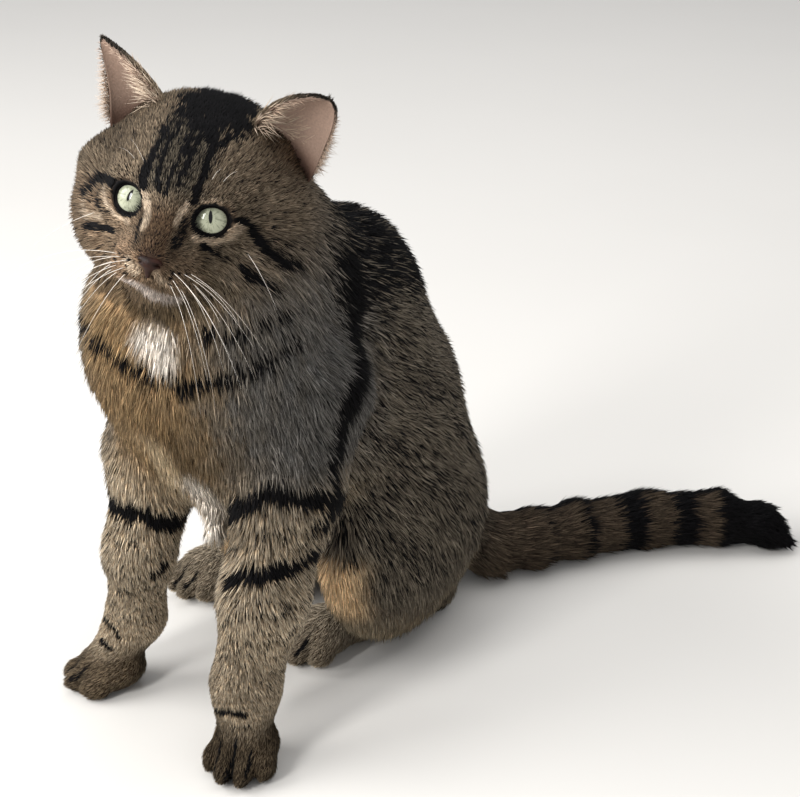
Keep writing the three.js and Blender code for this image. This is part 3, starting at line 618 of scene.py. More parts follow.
def coat_colours(p, normal, share):
    q = to_head(p)
    half = folded(q)
    x, y, z = p.T
    outside = x - 11  # to the cat's left of its middle
    hue = {}
    jitter = wobble(p, 9.0, 3)
    rough = wobble(p, 40.0, 4)

    # Trunk: agouti flanks, buff belly, tan bib, blue-grey behind the shoulder.
    front = step(0.05, 0.75, -normal[:, 1]) * step(95, 70, y)
    left = step(8, 62, x + 0.25 * y + 5 * jitter)
    body = AGOUTI[None] + np.zeros((len(p), 3, 3))

    def paint(colours, amount):
        nonlocal body
        body = body + (colours - body) * np.clip(amount, 0, 1)[:, None, None]

    belly = step(-0.15, -0.75, normal[:, 2]) * step(150, 110, z)
    paint(BUFF, 0.8 * belly)
    cool = step(12, 66, np.abs(outside) + 8 * jitter) * step(122, 76, y + 8 * jitter) * step(100, 165, z)
    paint(SHOULDER, cool * (0.4 + 0.6 * step(-20, 20, outside)))
    bib = step(90, 60, y) * step(100, 128, z) * (1 - left) * step(-66, -22, x - 0.3 * y + 6 * jitter)
    paint(TAN, bib * (0.95 + 0.1 * rough))
    # Painted shade: the lower bib is darkened from the middle of the chest towards the cat's left, between the forelegs
    # and away from the window light.
    body = body * (1 - 0.42 * bib * step(205, 165, z) * step(-12, 15, x))[:, None, None]
    paint(BUFF, streak(p, [(3, 3, 165), (0, 10, 149), (-3, 17, 133), (2, 24, 118)], 9, 6) * 0.8)
    apron = streak(p, [(14, 16, 140), (16, 20, 126), (15, 25, 105)], 9, 5)
    collar_patch = streak(p, [(10, -9, 228), (18, -7, 228), (20, -8, 220)], 7.5, 4.5)
    paint(WHITE, apron * 0.85)
    paint(WHITE, collar_patch)
    groin = step(118, 98, y) * step(84, 66, z) * step(30, 46, z) * step(60, 46, np.abs(outside))
    groin = groin * (share["thigh_left"] + share["thigh_right"] + share["trunk"])
    paint(BUFF * (1.25, 1.12, 1.0), groin)

    # Legs pale and barred, toes darker.
    fore = share["fore_left"] + share["fore_right"]
    paint(LEG, fore * step(165, 130, z))
    hind = share["hind_left"] + share["hind_right"]
    paint(LEG, hind * 0.3)
    body = body * (1 - 0.32 * share["fore_left"] * step(80, 112, z))[:, None, None]
    paint(TOE, (fore + 0.5 * hind) * step(34, 20, z))
    thighs = share["thigh_left"] + share["thigh_right"]
    body = body * (1 - 0.18 * thighs * (1 - groin))[:, None, None]
    body = body * (1 - 0.24 * share["fore_left"] * step(70, 50, z))[:, None, None]
    paint(TAIL_GREY, share["tail"])

    # Head
    head = share["skull"]
    muzzle = np.linalg.norm((half - (7, -48, -25)) / (17, 16, 13), axis=1)
    crooked = q + 0.55 * np.stack([wobble(q, 7.0, 21), 0 * x, wobble(q, 8.0, 22)], 1)
    paint(FACE, head)
    brow = step(20, 10, np.abs(q[:, 0])) * step(6, 14, q[:, 2]) * step(-8, -18, q[:, 1])
    paint(FOREHEAD, head * brow)
    # The lower face on the cat's right is painted paler, and its pale muzzle is stronger there: partly pale fur, partly
    # painted light where the window falls on that side.
    right = step(6, -22, q[:, 0])
    paint(MUZZLE, head * right * step(6, -8, q[:, 2]) * 0.5)
    paint(MUZZLE, head * step(1.2, 0.7, muzzle) * (0.45 + 0.4 * right))
    bridge = step(9, 5, half[:, 0]) * step(10, -2, q[:, 2]) * step(-24, -19, q[:, 2]) * step(-40, -46, q[:, 1])
    paint(BRIDGE, head * bridge)
    # Along each side of the nose bridge the fur is a darker brown, with painted shade in the hollow between the eye and
    # the nose.
    dark_fur_and_shade_beside_nose = streak(half, [(10.5, -45.5, -2), (9.5, -49, -8), (8.2, -53.5, -15)], 3.4, 2.6)
    paint(0.35 * BRIDGE, head * dark_fur_and_shade_beside_nose * 0.75)
    ratio = lid_ratio(half)
    for line, thick in CREAM_LINES:
        paint(PALE, head * streak(crooked, line, 1.15 * thick, 0.9))
    body = body * (1 - 0.3 * head * step(-16, -44, q[:, 0]))[:, None, None]
    paint(LIP, head * streak(q, LIP_LINE, 2.8, 1.3))

    # Black markings, with some painted shade laid in as black hair
    ink = np.zeros(len(p))

    def mark(amount):
        nonlocal ink
        ink = np.maximum(ink, amount)

    spine = 19 + 46 * step(172, 232, z) + 6 * jitter
    saddle = step(spine + 24, spine - 16, np.abs(x - 11)) * step(60, 98, y + 0.35 * (z - 200))
    mark(saddle * (share["trunk"] + share["neck"]) * (0.55 + 0.13 * step(165, 225, z + 7 * jitter)))
    nape = step(30, 12, np.abs(q[:, 0]) + 3 * jitter) * step(30, 44, q[:, 1]) * step(-30, 0, q[:, 2]) * step(150, 110, y)
    mark(nape * 0.62)
    coarse = share["trunk"] + share["thigh_left"] + share["thigh_right"]
    stripes = 0.5 + 0.5 * np.sin((y * 0.55 + z * 0.55 + 5 * jitter) / 5.2)
    mark((0.36 + 0.1 * step(0.5, 0.95, stripes)) * coarse * step(60, 90, y) * step(25, 60, z) * (1 - groin))
    mark((0.3 - 0.1 * bib) * (share["neck"] + 0.5 * share["tail"]) * (1 - collar_patch))
    mark(0.3 * fore * step(30, 45, z))
    # A dark streak from behind the left elbow down to the front of the thigh: partly a dark stripe in the fur, partly
    # painted shade in the fold between the foreleg and the haunch.
    mark(streak(p, [(89, 39.5, 126.5), (66, 80, 96), (59, 87, 84), (57, 85.6, 76.7)], 6, 5) * 0.6)
    shoulder = np.stack([11 + np.abs(outside), y, z], 1)
    blade = streak(shoulder, SHOULDER_LINE, 6.6 + 1.2 * step(170, 200, z) + 1.2 * jitter, 3.2)
    mark(blade * (0.7 + 0.18 * step(150, 185, z)))
    mark(streak(p, NECKLACE, 5.4 + 1.4 * jitter, 3.6) * (0.64 + 0.1 * rough))
    mark(streak(p, COLLAR, 3.6 + 1.5 * jitter, 3.0) * 0.62)

    bands = np.zeros(len(p))
    arm_left = z - 151 + 0.8 * np.maximum(60 - x, 0) + 0.38 * np.maximum(y - 20, 0)
    arm_right = z - 114.5 + 0.55 * np.maximum(x + 23, 0) + 0.2 * np.maximum(y - 15, 0)
    on_left = step(0.25, 0.6, share["fore_left"])
    on_right = step(0.25, 0.6, share["fore_right"])
    for offset, thick, depth in ((0, 5.2, 0.95), (-20, 3.0, 0.42), (-58, 2.8, 0.46), (-76, 2.6, 0.44)):
        bands = np.maximum(bands, on_left * depth * level_band(arm_left, offset + 1.3 * jitter, thick))
    rear = step(24, 40, y)
    bands = np.maximum(bands, on_left * rear * 0.8 * level_band(z, 131 + 1.3 * jitter, 3.6))
    for offset, thick, depth in ((0, 4.8, 0.95), (-16, 1.8, 0.4), (-34, 2.6, 0.45), (-51, 2.0, 0.4)):
        bands = np.maximum(bands, on_right * depth * level_band(arm_right, offset + 1.3 * jitter, thick))
    mark(bands)
    for line, thick, depth in WRIST_LINES:
        mark(streak(p, line, thick + 0.4 * jitter, 1.2) * depth)
    # Dark lines in the clefts between the toes of every foot are painted shade.
    for leg in list(FORELEGS.values()) + list(HIND_LEGS.values()):
        knuckle = np.array(leg["knuckle"], float)
        ahead = unit(np.array(leg["points"], float))
        aside = np.array([-ahead[1], ahead[0], 0])
        out = (p - knuckle) @ ahead
        across = (p - knuckle) @ aside
        groove = np.abs(np.abs(across) - 9.5)
        groove = np.minimum(groove, np.abs(across))
        near = step(26, 22, np.linalg.norm(p - knuckle, axis=1)) * step(7, 13, out)
        mark(near * step(1.6, 0.5, groove) * 0.7)
    # Painted shade: the underside of each hind foot towards the heel, where it lies along the floor, is laid in as
    # black hair.
    mark(0.8 * (share["hind_left"] + share["hind_right"]) * step(-0.2, -0.6, normal[:, 2]) * step(120, 150, y))

    # Tail: rings that run together along its top, and a black end.
    place, _ = along_tail(p)
    place = place + 2.0 * jitter
    rings = np.zeros(len(p))
    for start, end, depth in ((78, 84, 0.5), (105, 112, 0.7), (131, 146, 0.9), (168, 181, 1.0), (194, 260, 1.0)):
        rings = np.maximum(rings, depth * step(start - 2.5, start + 2, place) * step(end + 2.5, end - 2, place))
    back_edge = normal @ unit([-0.75, 0.35, 0.75])
    rings = np.maximum(rings, 0.95 * step(0.62, 0.85, back_edge) * step(20, 50, place))
    mark(rings * share["tail"])

    # Head stripes: the tabby's M, running back over a black crown, and two lines across each cheek.
    ragged = jitter + 1.3 * wobble(q * (1, 0.3, 0.3), 6.0, 23)
    strands = wobble(q * (1, 0.2, 0.2), 4.2, 24)
    crown = step(31, 14, np.abs(q[:, 0] - 4) + 3 * ragged + 7 * step(4, 34, q[:, 1]))
    crown = crown * step(-14, 9, q[:, 1] + 32 - 0.03 * (q[:, 0] - 4) ** 2 + 5.0 * ragged) * step(18, 30, q[:, 2])
    crown = crown * (0.95 - 0.34 * step(0.2, 0.9, strands) * step(6, -22, q[:, 1]) - 0.27 * step(2, 32, q[:, 1]))
    face_ink = np.maximum(crown, 0.3 + 0.08 * brow)
    for line, thick, depth in INK_LINES:
        width = 1.45 * thick + 0.3 * jitter + 0.3 * strands
        face_ink = np.maximum(face_ink, 0.92 * depth * streak(crooked, line, width, 0.9))
    pale = np.zeros(len(p))
    for line, thick in CREAM_LINES:
        pale = np.maximum(pale, streak(crooked, line, thick, 0.9))
    pale = np.maximum(pale, streak(q, LIP_LINE, 2.8, 1.3))
    face_ink = np.where(face_ink < 0.5, face_ink * (1 - pale), face_ink)
    spots = np.zeros(len(p))
    for row in range(3):
        for column in range(4):
            at = (10.5 + 3.0 * column, -54.6 + 1.5 * column - 0.3 * row, -22.8 - 2.9 * row + 0.4 * column)
            spots = np.maximum(spots, 1 - step(0.6, 1.4, np.linalg.norm(half - at, axis=1)))
    face_ink = np.maximum(face_ink, 0.95 * spots)
    face_ink = np.maximum(face_ink, step(1.24, 1.18, ratio))
    mark(face_ink * step(0.18, 0.42, head))

    return body, np.clip(ink, 0, 1)

# ---------------------------------------------------------------------------------------------
# The hide as one object: body, ears and lid margins. It stands for every CAD node of flesh.

rest_low, rest_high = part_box("eye_left")
EYE_IN_FRAME = 500 * (np.array(rest_low) + np.array(rest_high))
SHIFT = EYE_IN_FRAME - from_head(EYE_AT[None])[0]
camera.location = (np.array([555.5, -575.5, 560.0]) + SHIFT) / 1000


def placed(points):
    return (points + SHIFT) / 1000


def mesh_object(name, points, triangles, smooth=True):
    mesh = bpy.data.meshes.new(name)
    mesh.vertices.add(len(points))
    mesh.vertices.foreach_set("co", placed(points).astype(np.float32).ravel())
    mesh.loops.add(triangles.size)
    mesh.loops.foreach_set("vertex_index", triangles.astype(np.int32).ravel())
    mesh.polygons.add(len(triangles))
    mesh.polygons.foreach_set("loop_start", np.arange(0, triangles.size, 3, dtype=np.int32))
    mesh.update(calc_edges=True)
    mesh.polygons.foreach_set("use_smooth", np.full(len(triangles), smooth))
    piece = bpy.data.objects.new(name, mesh)
    scene.collection.objects.link(piece)
    return piece


def normals_of(points, triangles):
    corners = points[triangles]
    face = np.cross(corners[:, 1] - corners[:, 0], corners[:, 2] - corners[:, 0])
    total = np.zeros_like(points)
    for i in range(3):
        np.add.at(total, triangles[:, i], face)
    return total / np.maximum(np.linalg.norm(total, axis=1, keepdims=True), 1e-9)


def add_colours(mesh, name, colours):
    layer = mesh.color_attributes.new(name, "FLOAT_COLOR", "POINT")
    rgba = np.ones((len(colours), 4), np.float32)
    rgba[:, :3] = colours
    layer.data.foreach_set("color", rgba.ravel())


def node(tree, kind, links=None, **settings):
    made = tree.nodes.new(kind)
    for key, value in settings.items():
        if key.startswith("in_"):
            made.inputs[key[3:].replace("_", " ")].default_value = value
        else:
            setattr(made, key, value)
    for socket, source in (links or {}).items():
        tree.links.new(source, made.inputs[socket])
    return made


def material(name, **sockets):
    made = bpy.data.materials.new(name)
    made.use_nodes = True
    shader = made.node_tree.nodes["Principled BSDF"]
    for socket, value in sockets.items():
        shader.inputs[socket.replace("_", " ")].default_value = value
    return made, made.node_tree, shader


# Bare hide and underfur: matt, with a fine grain along the hairs.
hide, tree, shader = material("hide_and_underfur", Roughness=0.8, Specular_IOR_Level=0.08)
colour = node(tree, "ShaderNodeAttribute", attribute_name="MarkingsAndShade")
place = node(tree, "ShaderNodeTexCoord")
grain = node(tree, "ShaderNodeTexNoise", {"Vector": place.outputs["Object"]}, in_Scale=900.0, in_Detail=3.0)
spread = node(tree, "ShaderNodeMapRange", {"Value": grain.outputs["Fac"]}, in_To_Min=0.7, in_To_Max=1.25)
mixed = node(tree, "ShaderNodeVectorMath", {0: colour.outputs["Color"]}, operation="SCALE")
tree.links.new(spread.outputs["Result"], mixed.inputs["Scale"])
tree.links.new(mixed.outputs["Vector"], shader.inputs["Base Color"])
bump = node(tree, "ShaderNodeBump", {"Height": grain.outputs["Fac"]}, in_Strength=0.5, in_Distance=0.0004)
tree.links.new(bump.outputs["Normal"], shader.inputs["Normal"])

EAR_SKIN = linear("8d7769")
EAR_SKIN_SHADED = linear("6b5246")
RIM_BLACK = linear("060404")

skin_normals = normals_of(skin_points, skin_triangles)
skin_share = shares(measure(skin_points.astype(np.float32)))
outer = skin_points + skin_normals * coat_depth(skin_points, skin_share)[:, None]
ground, ink = coat_colours(outer, skin_normals, skin_share)
under = ground[:, 1] * 0.75 + (BLACK[1] - ground[:, 1] * 0.75) * ink[:, None]
head_points = folded(to_head(skin_points))
lip_gap = np.full(len(skin_points), 1e9)
for a, b in zip(MOUTH, MOUTH[1:]):
    lip_gap = np.minimum(lip_gap, round_cone(a, b, 0, 0)(head_points))
under = under + (linear("2a1a15") - under) * (step(1.9, 1.0, lip_gap) * 0.85)[:, None]

all_points = [skin_points]
all_triangles = [skin_triangles]
all_colours = [under]
ears = {}
for name, side in (("left", 1), ("right", -1)):
    points, triangles, hollow, level = ear_sheet(side)
    edge = step(0.86, 1.0, level)
    # The skin of the hollow darkens towards the root: painted shade deep in the ear.
    inner = EAR_SKIN + (EAR_SKIN_SHADED - EAR_SKIN) * step(0.35, 0.0, level)[:, None]
    colours = np.where(hollow[:, None], inner, EAR_BACK[1])
    ears[name] = (points, triangles, hollow, level)
    all_triangles.append(triangles + sum(len(p) for p in all_points))
    all_points.append(points)
    all_colours.append(colours)
    points, triangles = lid_rim(side)
    all_triangles.append(triangles + sum(len(p) for p in all_points))
    all_points.append(points)
    all_colours.append(np.tile(RIM_BLACK, (len(points), 1)))

skin = mesh_object("skin", np.concatenate(all_points), np.concatenate(all_triangles))
add_colours(skin.data, "MarkingsAndShade", np.concatenate(all_colours))
skin.data.materials.append(hide)
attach(skin, "root")
FLESH = [name for name in nodes if "claw" not in name and not name.startswith(("eye", "nose"))]
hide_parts(*FLESH)

# ---------------------------------------------------------------------------------------------
# Coat: thin tufts of hair, each a closed spike with one bend, rooted in the hide and lying along the
# body in the direction that the real hair grows.

TUFTS = 345000
BLADE = np.array([(0, 1, 2), (3, 2, 1), (0, 3, 1), (0, 2, 3)])
PIECE_TUFTS = 46000


def lie_of(p, share):
    x, y, z = p.T
    q = to_head(p)
    half = folded(q)
    radial = unit(half - (0, -57, -19))
    radial[:, 2] -= 0.5 * step(4, -20, half[:, 2]) * step(14, 34, half[:, 0])
    radial[:, 0] *= np.where(q[:, 0] < 0, -1, 1)
    head = unit(radial) @ HEAD_TURN.T
    sideways = np.clip((x - 16) / 60, -1, 1)
    down = -np.ones(len(p))
    rear = step(20, 105, y)
    throat = unit(np.stack([0.45 * sideways, 0.5 * rear - 0.05, down], 1))
    slope = step(40, 210, z)
    ribs = unit(np.stack([0.15 * sideways, rear * (0.25 + 1.15 * slope), down], 1))
    hip = unit(np.stack([0.0 * x, 0.1 + 0.5 * step(40, 110, z) * rear, down], 1))
    total = np.zeros((len(p), 3))
    arm = unit(np.stack([0.1 * sideways, 0.25 + 0 * y, down], 1))
    for name, weight in share.items():
        kind = name.split("_")[0]
        if kind == "fore" or kind == "hind":
            leg = (FORELEGS if kind == "fore" else HIND_LEGS)[name.split("_")[1]]
            ahead = unit(np.array(leg["points"], float)) + (0, 0, -0.35)
            low = step(38, 20, z)[:, None] if kind == "fore" else 1.0
            way = arm * (1 - low) + ahead * low
        elif kind == "tail":
            way = along_tail(p)[1]
        else:
            way = {"skull": head, "neck": throat, "trunk": ribs, "thigh": hip}[kind]
        total += weight[:, None] * way
    return total


def tuft_sizes(p, share):
    z = p[:, 2]
    half = folded(to_head(p))
    far = step(10, 60, np.linalg.norm(half - (0, -54, -20), axis=1))
    eye = step(1.3, 3.2, lid_ratio(half))
    jowl = np.maximum(step(18, -18, half[:, 2]), step(-12, 20, half[:, 1]))
    arm = step(20, 150, z)
    table = {
        "trunk": (13.0, 0.78, 0.9),
        "neck": (13.0, 0.72, 1.05),
        "thigh": (12.5, 0.78, 0.95),
        "hind": (4.5 + 5 * step(16, 34, z), 0.55, 1.9),
        "fore": (4.2 + 7.3 * arm, 0.52 + 0.28 * arm, 1.9 - 0.9 * arm),
        "tail": (12.5, 0.75, 1.15),
        "skull": (2.7 + (2.6 + 5.4 * jowl) * far * (0.3 + 0.7 * eye), 0.44 + 0.2 * far, 4.8 - 2.0 * far),
    }
    sizes = []
    for i in range(3):
        sizes.append(sum(weight * table[name.split("_")[0]][i] for name, weight in share.items()))
    return sizes


def scatter(points, triangles, density, count, normals):
    corners = points[triangles]
    area = 0.5 * np.linalg.norm(np.cross(corners[:, 1] - corners[:, 0], corners[:, 2] - corners[:, 0]), axis=1)
    weight = area * density[triangles].mean(1)
    share_of = np.cumsum(weight) / weight.sum()
    if count is None:
        count = int(weight.sum())
    at = (np.arange(count) + rng.random(count)) / count
    face = np.searchsorted(share_of, at)
    u = rng.random((count, 2))
    u = np.where(u.sum(1, keepdims=True) > 1, 1 - u, u)
    weights = np.stack([1 - u.sum(1), u[:, 0], u[:, 1]], 1)[:, :, None]
    root = (corners[face] * weights).sum(1)
    normal = unit((normals[triangles[face]] * weights).sum(1))
    return root, normal


# Four points to a tuft: the root under the skin, the two edges where it bends, and the tip.
def tufts(root, normal, way, length, width, lift, droop, twist):
    flat = way - (way * normal).sum(1, keepdims=True) * normal
    flat = unit(flat + 1e-6)
    side = np.cross(normal, flat)
    flat = flat * np.cos(twist)[:, None] + side * np.sin(twist)[:, None]
    side = np.cross(normal, flat)
    start = root - normal * np.minimum(0.9, 0.09 * length)[:, None]
    near = length[:, None] * 0.42
    first = flat * np.cos(lift)[:, None] + normal * np.sin(lift)[:, None]
    second = flat * np.cos(droop)[:, None] + normal * np.sin(droop)[:, None]
    middle = start + first * near
    tip = middle + second * (length[:, None] - near)
    across = side * width[:, None] * 0.5
    points = np.stack([start, middle + across, middle - across, tip], 1)
    points[:, :, 2] = np.maximum(points[:, :, 2], 0.25)
    return points


skin_sizes = tuft_sizes(skin_points, skin_share)
density = skin_sizes[2] * step(1.1, 1.2, lid_ratio(head_points))
density = density * step(4.5, 6.5, np.linalg.norm((head_points - NOSE_AT) * (0.8, 1, 1.1), axis=1))
density = density * step(0.6, 2.0, skin_points[:, 2])
density = density * step(0.7, 1.6, lip_gap)
roots, normals = scatter(skin_points, skin_triangles, density, TUFTS, skin_normals)
share = shares(measure(roots.astype(np.float32)))
length, width, _ = tuft_sizes(roots, share)
way = lie_of(roots, share)

count = len(roots)
length = length * rng.uniform(0.7, 1.2, count)
width = width * rng.uniform(0.7, 1.25, count)
outer = roots + normals * coat_depth(roots, share)[:, None] + unit(way) * 0.45 * length[:, None]
ground, ink = coat_colours(outer, normals, share)
swirl = 0.16 * wobble(roots, 30.0, 11) + rng.normal(0, 0.13, count)
lift = rng.uniform(0.22, 0.46, count) + 0.07 * wobble(roots, 12.0, 12)
off_edge = np.clip((unit(way) * normals).sum(1) - 0.25, 0, 0.75) * (0.3 + 1.3 * share["tail"])
lift = lift + off_edge
droop = (lift - off_edge) * rng.uniform(0.35, 0.8, count) + off_edge
length = length * (1 - 0.35 * share["tail"] * step(185, 205, along_tail(roots)[0]))
spikes = tufts(roots, normals, way, length, width, lift, droop, swirl)
tips = spikes[:, 3].astype(np.float32)
buried = np.maximum(0.6 - outline(measure(tips)) - coat_depth(roots, share), 0) / length
spikes = tufts(roots, normals, way, length, width, lift + np.minimum(buried, 0.8), droop + np.minimum(1.6 * buried, 1.2), swirl)

inked = ink > rng.uniform(0.25, 0.75, count)
tone = np.exp(rng.normal(0, 0.27, count)) * (1 + 0.16 * wobble(roots, 5.0, 13) + 0.14 * wobble(roots, 2.6, 14))
shade = np.where(inked[:, None, None], BLACK[None], ground)
dark_tip = (rng.random(count) < 0.3) & ~inked
shade = shade.copy()
shade[dark_tip, 2] = shade[dark_tip, 2] * 0.35
shade = shade * tone[:, None, None]
colours = np.stack([shade[:, 0], shade[:, 1], shade[:, 1], shade[:, 2]], 1)

# Coat hair: a dull gloss along each hair, over the markings and the painted shade and light.
fur, tree, shader = material("coat_hair", Roughness=0.75, Specular_IOR_Level=0.07)
colour = node(tree, "ShaderNodeAttribute", attribute_name="MarkingsAndShade")
place = node(tree, "ShaderNodeTexCoord")
fleck = node(tree, "ShaderNodeTexNoise", {"Vector": place.outputs["Object"]}, in_Scale=700.0, in_Detail=2.0)
spread = node(tree, "ShaderNodeMapRange", {"Value": fleck.outputs["Fac"]}, in_To_Min=0.75, in_To_Max=1.25)
mixed = node(tree, "ShaderNodeVectorMath", {0: colour.outputs["Color"]}, operation="SCALE")
tree.links.new(spread.outputs["Result"], mixed.inputs["Scale"])
tree.links.new(mixed.outputs["Vector"], shader.inputs["Base Color"])


# The places of the roots on the hide unrolled round an upright line through the region.
def unrolled(points, normal):
    middle = points.mean(0)
    r = points - middle
    if np.ptp(points[:, 2]) > np.ptp(points[:, 1]) or np.ptp(points[:, 2]) > 60:
        u = np.arctan2(r[:, 0], -r[:, 1])
        v = r[:, 2] / max(np.ptp(r[:, 2]), 1e-6)
    else:
        u = np.arctan2(normal[:, 2], normal[:, 0])
        v = r[:, 1] / max(np.ptp(r[:, 1]), 1e-6)
    uv = np.stack([u / (2 * math.pi), v], 1)
    low, high = uv.min(0), uv.max(0)
    return 0.006 + 0.988 * (uv - low) / np.maximum(high - low, 1e-6)


PATCH = 0.0015
PATCH_SHAPE = np.array([(0, -1), (0.7, 0), (-0.7, 0), (0, 1)]) * PATCH


def coat_piece(name, points, shades, root, normal):
    n = len(points)
    triangles = (BLADE[None] + 4 * np.arange(n)[:, None, None]).reshape(-1, 3)
    piece = mesh_object(name, points.reshape(-1, 3), triangles)
    add_colours(piece.data, "MarkingsAndShade", shades.reshape(-1, 3))
    layer = piece.data.uv_layers.new(name="OFBake")
    corner = unrolled(root, normal)[:, None] + PATCH_SHAPE[None]
    uv = corner.reshape(-1, 2)[triangles.ravel()]
    layer.data.foreach_set("uv", uv.astype(np.float32).ravel())
    piece.data.materials.append(fur)
    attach(piece, "root")
    return piece


best = np.stack([share[name] for name in PARTS]).argmax(0)
part_names = list(PARTS)
REGIONS = {
    "head": (("skull",), "head_coat"),
    "neck": (("neck",), "front_coat"),
    "trunk": (("trunk",), "body_coat"),
    "thighs": (("thigh_left", "thigh_right"), "body_coat"),
    "forelegs": (("fore_left", "fore_right"), "paw_coat"),
    "hind_feet": (("hind_left", "hind_right"), "paw_coat"),
    "tail": (("tail",), "tail_coat"),
}
for region, (members, slot) in REGIONS.items():
    mine = np.flatnonzero(np.isin(best, [part_names.index(name) for name in members]))
    order = mine[np.argsort(roots[mine, 0])]
    chunks = np.array_split(order, math.ceil(len(order) / PIECE_TUFTS))
    for i, chunk in enumerate(chunks):
        name = f"coat_{region}_{i + 1}"
        coat_piece(name, spikes[chunk], colours[chunk], roots[chunk], normals[chunk])
    print(region, len(order), len(chunks))

# Ears: short dark hair over the backs, a fringe along the edges, and long pale hairs that start at the
# inner edge and lie across the hollow.
for name, side in (("left", 1), ("right", -1)):
    points, triangles, hollow, level = ears[name]
    base, up, height, across, front = ear_axes(side)
    ear_normals = normals_of(points, triangles)
    q = to_head(points)
    off = ((q - base) @ across)
    rim = np.abs(np.abs(off) / np.maximum(EAR["half"] * np.maximum(1 - level, 0.02) ** 0.8, 2.0) - 1)
    out_of_head = step(-0.02, 0.12, level)
    outside_density = np.where(hollow, 0.0, 3.4) * out_of_head
    root, normal = scatter(points, triangles, outside_density, None, ear_normals)
    n = len(root)
    local = to_head(root)
    t = (local - base) @ up / height
    way = np.tile((up @ HEAD_TURN.T)[None], (n, 1))
    wide = np.full(n, 0.6)
    long = 5.5 - 2.2 * np.clip(t, 0, 1)
    near_edge = step(0.75, 0.98, np.abs((local - base) @ across) / (EAR["half"] * np.maximum(1 - t, 0.03) ** 0.8))
    tint = EAR_BACK[None] + (FACE[None] - EAR_BACK[None]) * (0.75 * step(0.4, 0.0, t))[:, None, None]
    tint = tint + (FACE[None] - tint) * (0.8 * near_edge * step(0.85, 0.5, t))[:, None, None]
    tint = tint + (BLACK[None] - tint) * (0.5 * near_edge * step(0.6, 0.9, t))[:, None, None]
    ear_spikes = tufts(root, normal, way, long * rng.uniform(0.8, 1.2, n), wide, rng.uniform(0.15, 0.4, n), rng.uniform(0.0, 0.2, n), rng.normal(0, 0.15, n))
    tint = tint * rng.uniform(0.7, 1.3, n)[:, None, None]
    back_shades = np.stack([tint[:, 0], tint[:, 1], tint[:, 1], tint[:, 2]], 1)

    medial = -np.sign(across[0]) * side
    inner_density = np.where(hollow, 2.2, 0.0) * out_of_head * step(1.0, 0.8, level)
    root, normal = scatter(points, triangles, inner_density, None, ear_normals)
    m = len(root)
    local = to_head(root)
    t = (local - base) @ up / height
    lateral = (local - base) @ across / EAR["half"]
    way = (0.9 * across + 0.45 * up)[None] + np.zeros((m, 1))
    low = step(1.05, 0.0, t) * step(1.8, -0.6, lateral) * (0.45 + 0.55 * step(0.0, 0.22, t))
    inside = tufts(
        root,
        normal,
        way @ HEAD_TURN.T,
        3.0 + 13 * low * rng.uniform(0.4, 1.3, m),
        0.24 + 0.12 * low,
        0.1 + 0.2 * low * rng.uniform(0.4, 1.2, m),
        0.03 + 0.08 * low,
        rng.normal(0, 0.35, m),
    )
    tint = hair("745c4f", "a48a79", "c6b09d")[None] + (hair("7f6d5d", "a89682", "cbbda9") - hair("745c4f", "a48a79", "c6b09d"))[None] * low[:, None, None]
    tint = tint * rng.uniform(0.8, 1.2, m)[:, None, None]
    in_shades = np.stack([tint[:, 0], tint[:, 1], tint[:, 1], tint[:, 2]], 1)
    both = np.concatenate([ear_spikes, inside])
    coat_piece(
        f"coat_ear_{name}",
        both,
        np.concatenate([back_shades, in_shades]),
        both[:, 0],
        np.concatenate([np.tile(front @ HEAD_TURN.T, (n, 1)), np.tile(-front @ HEAD_TURN.T, (m, 1))]),
    )

# ---------------------------------------------------------------------------------------------
# Eyes: a clear wet globe, grey-green iris with radial fibres and a narrow upright slit.

IRIS_RADIUS = 9.6
IRIS_SHIFT = (-0.5, 1.9)  # the cat looks up a little


def eye_globe(name, side):
    rings, steps = 48, 72
    polar = np.linspace(0, math.pi, rings + 1)[1:-1]
    turns = np.linspace(0, 2 * math.pi, steps, endpoint=False)
    bulge = EYE_RADIUS + 0.35 * step(0.95, 0.3, polar)
    ring = np.stack(
        [
            (bulge * np.sin(polar))[:, None] * np.cos(turns)[None],
            (bulge * np.sin(polar))[:, None] * np.sin(turns)[None],
            np.tile((bulge * np.cos(polar))[:, None], (1, steps)),
        ],
        -1,
    ).reshape(-1, 3)
    local = np.concatenate([ring, [(0, 0, EYE_RADIUS + 0.35)], [(0, 0, -EYE_RADIUS)]])
    triangles = []
    for r in range(rings - 2):
        for i in range(steps):
            a, b = r * steps + i, r * steps + (i + 1) % steps
            triangles += [(a, a + steps, b + steps), (a, b + steps, b)]
    first, last = len(ring), len(ring) + 1
    for i in range(steps):
        a, b = i, (i + 1) % steps
        triangles.append((first, a, b))
        low = (rings - 2) * steps
        triangles.append((last, low + b, low + a))
    triangles = np.array(triangles)
    q = EYE_AT + local[:, :1] * EYE_ACROSS + local[:, 1:2] * EYE_UP + local[:, 2:] * GAZE
    points = from_head(q * (side, 1, 1))
    centre = from_head((EYE_AT * (side, 1, 1))[None])[0]
    corners = points[triangles] - centre
    if (corners[:, 0] * np.cross(corners[:, 1], corners[:, 2])).sum() < 0:
        triangles = triangles[:, ::-1]
    globe = mesh_object(name, points, triangles)
    layer = globe.data.uv_layers.new(name="IrisMap")
    uv = (local[:, :2] - IRIS_SHIFT) / 24 + 0.5
    uv[local[:, 2] < 0] = (0.02, 0.02)
    layer.data.foreach_set("uv", uv[triangles.ravel()].astype(np.float32).ravel())
    return globe


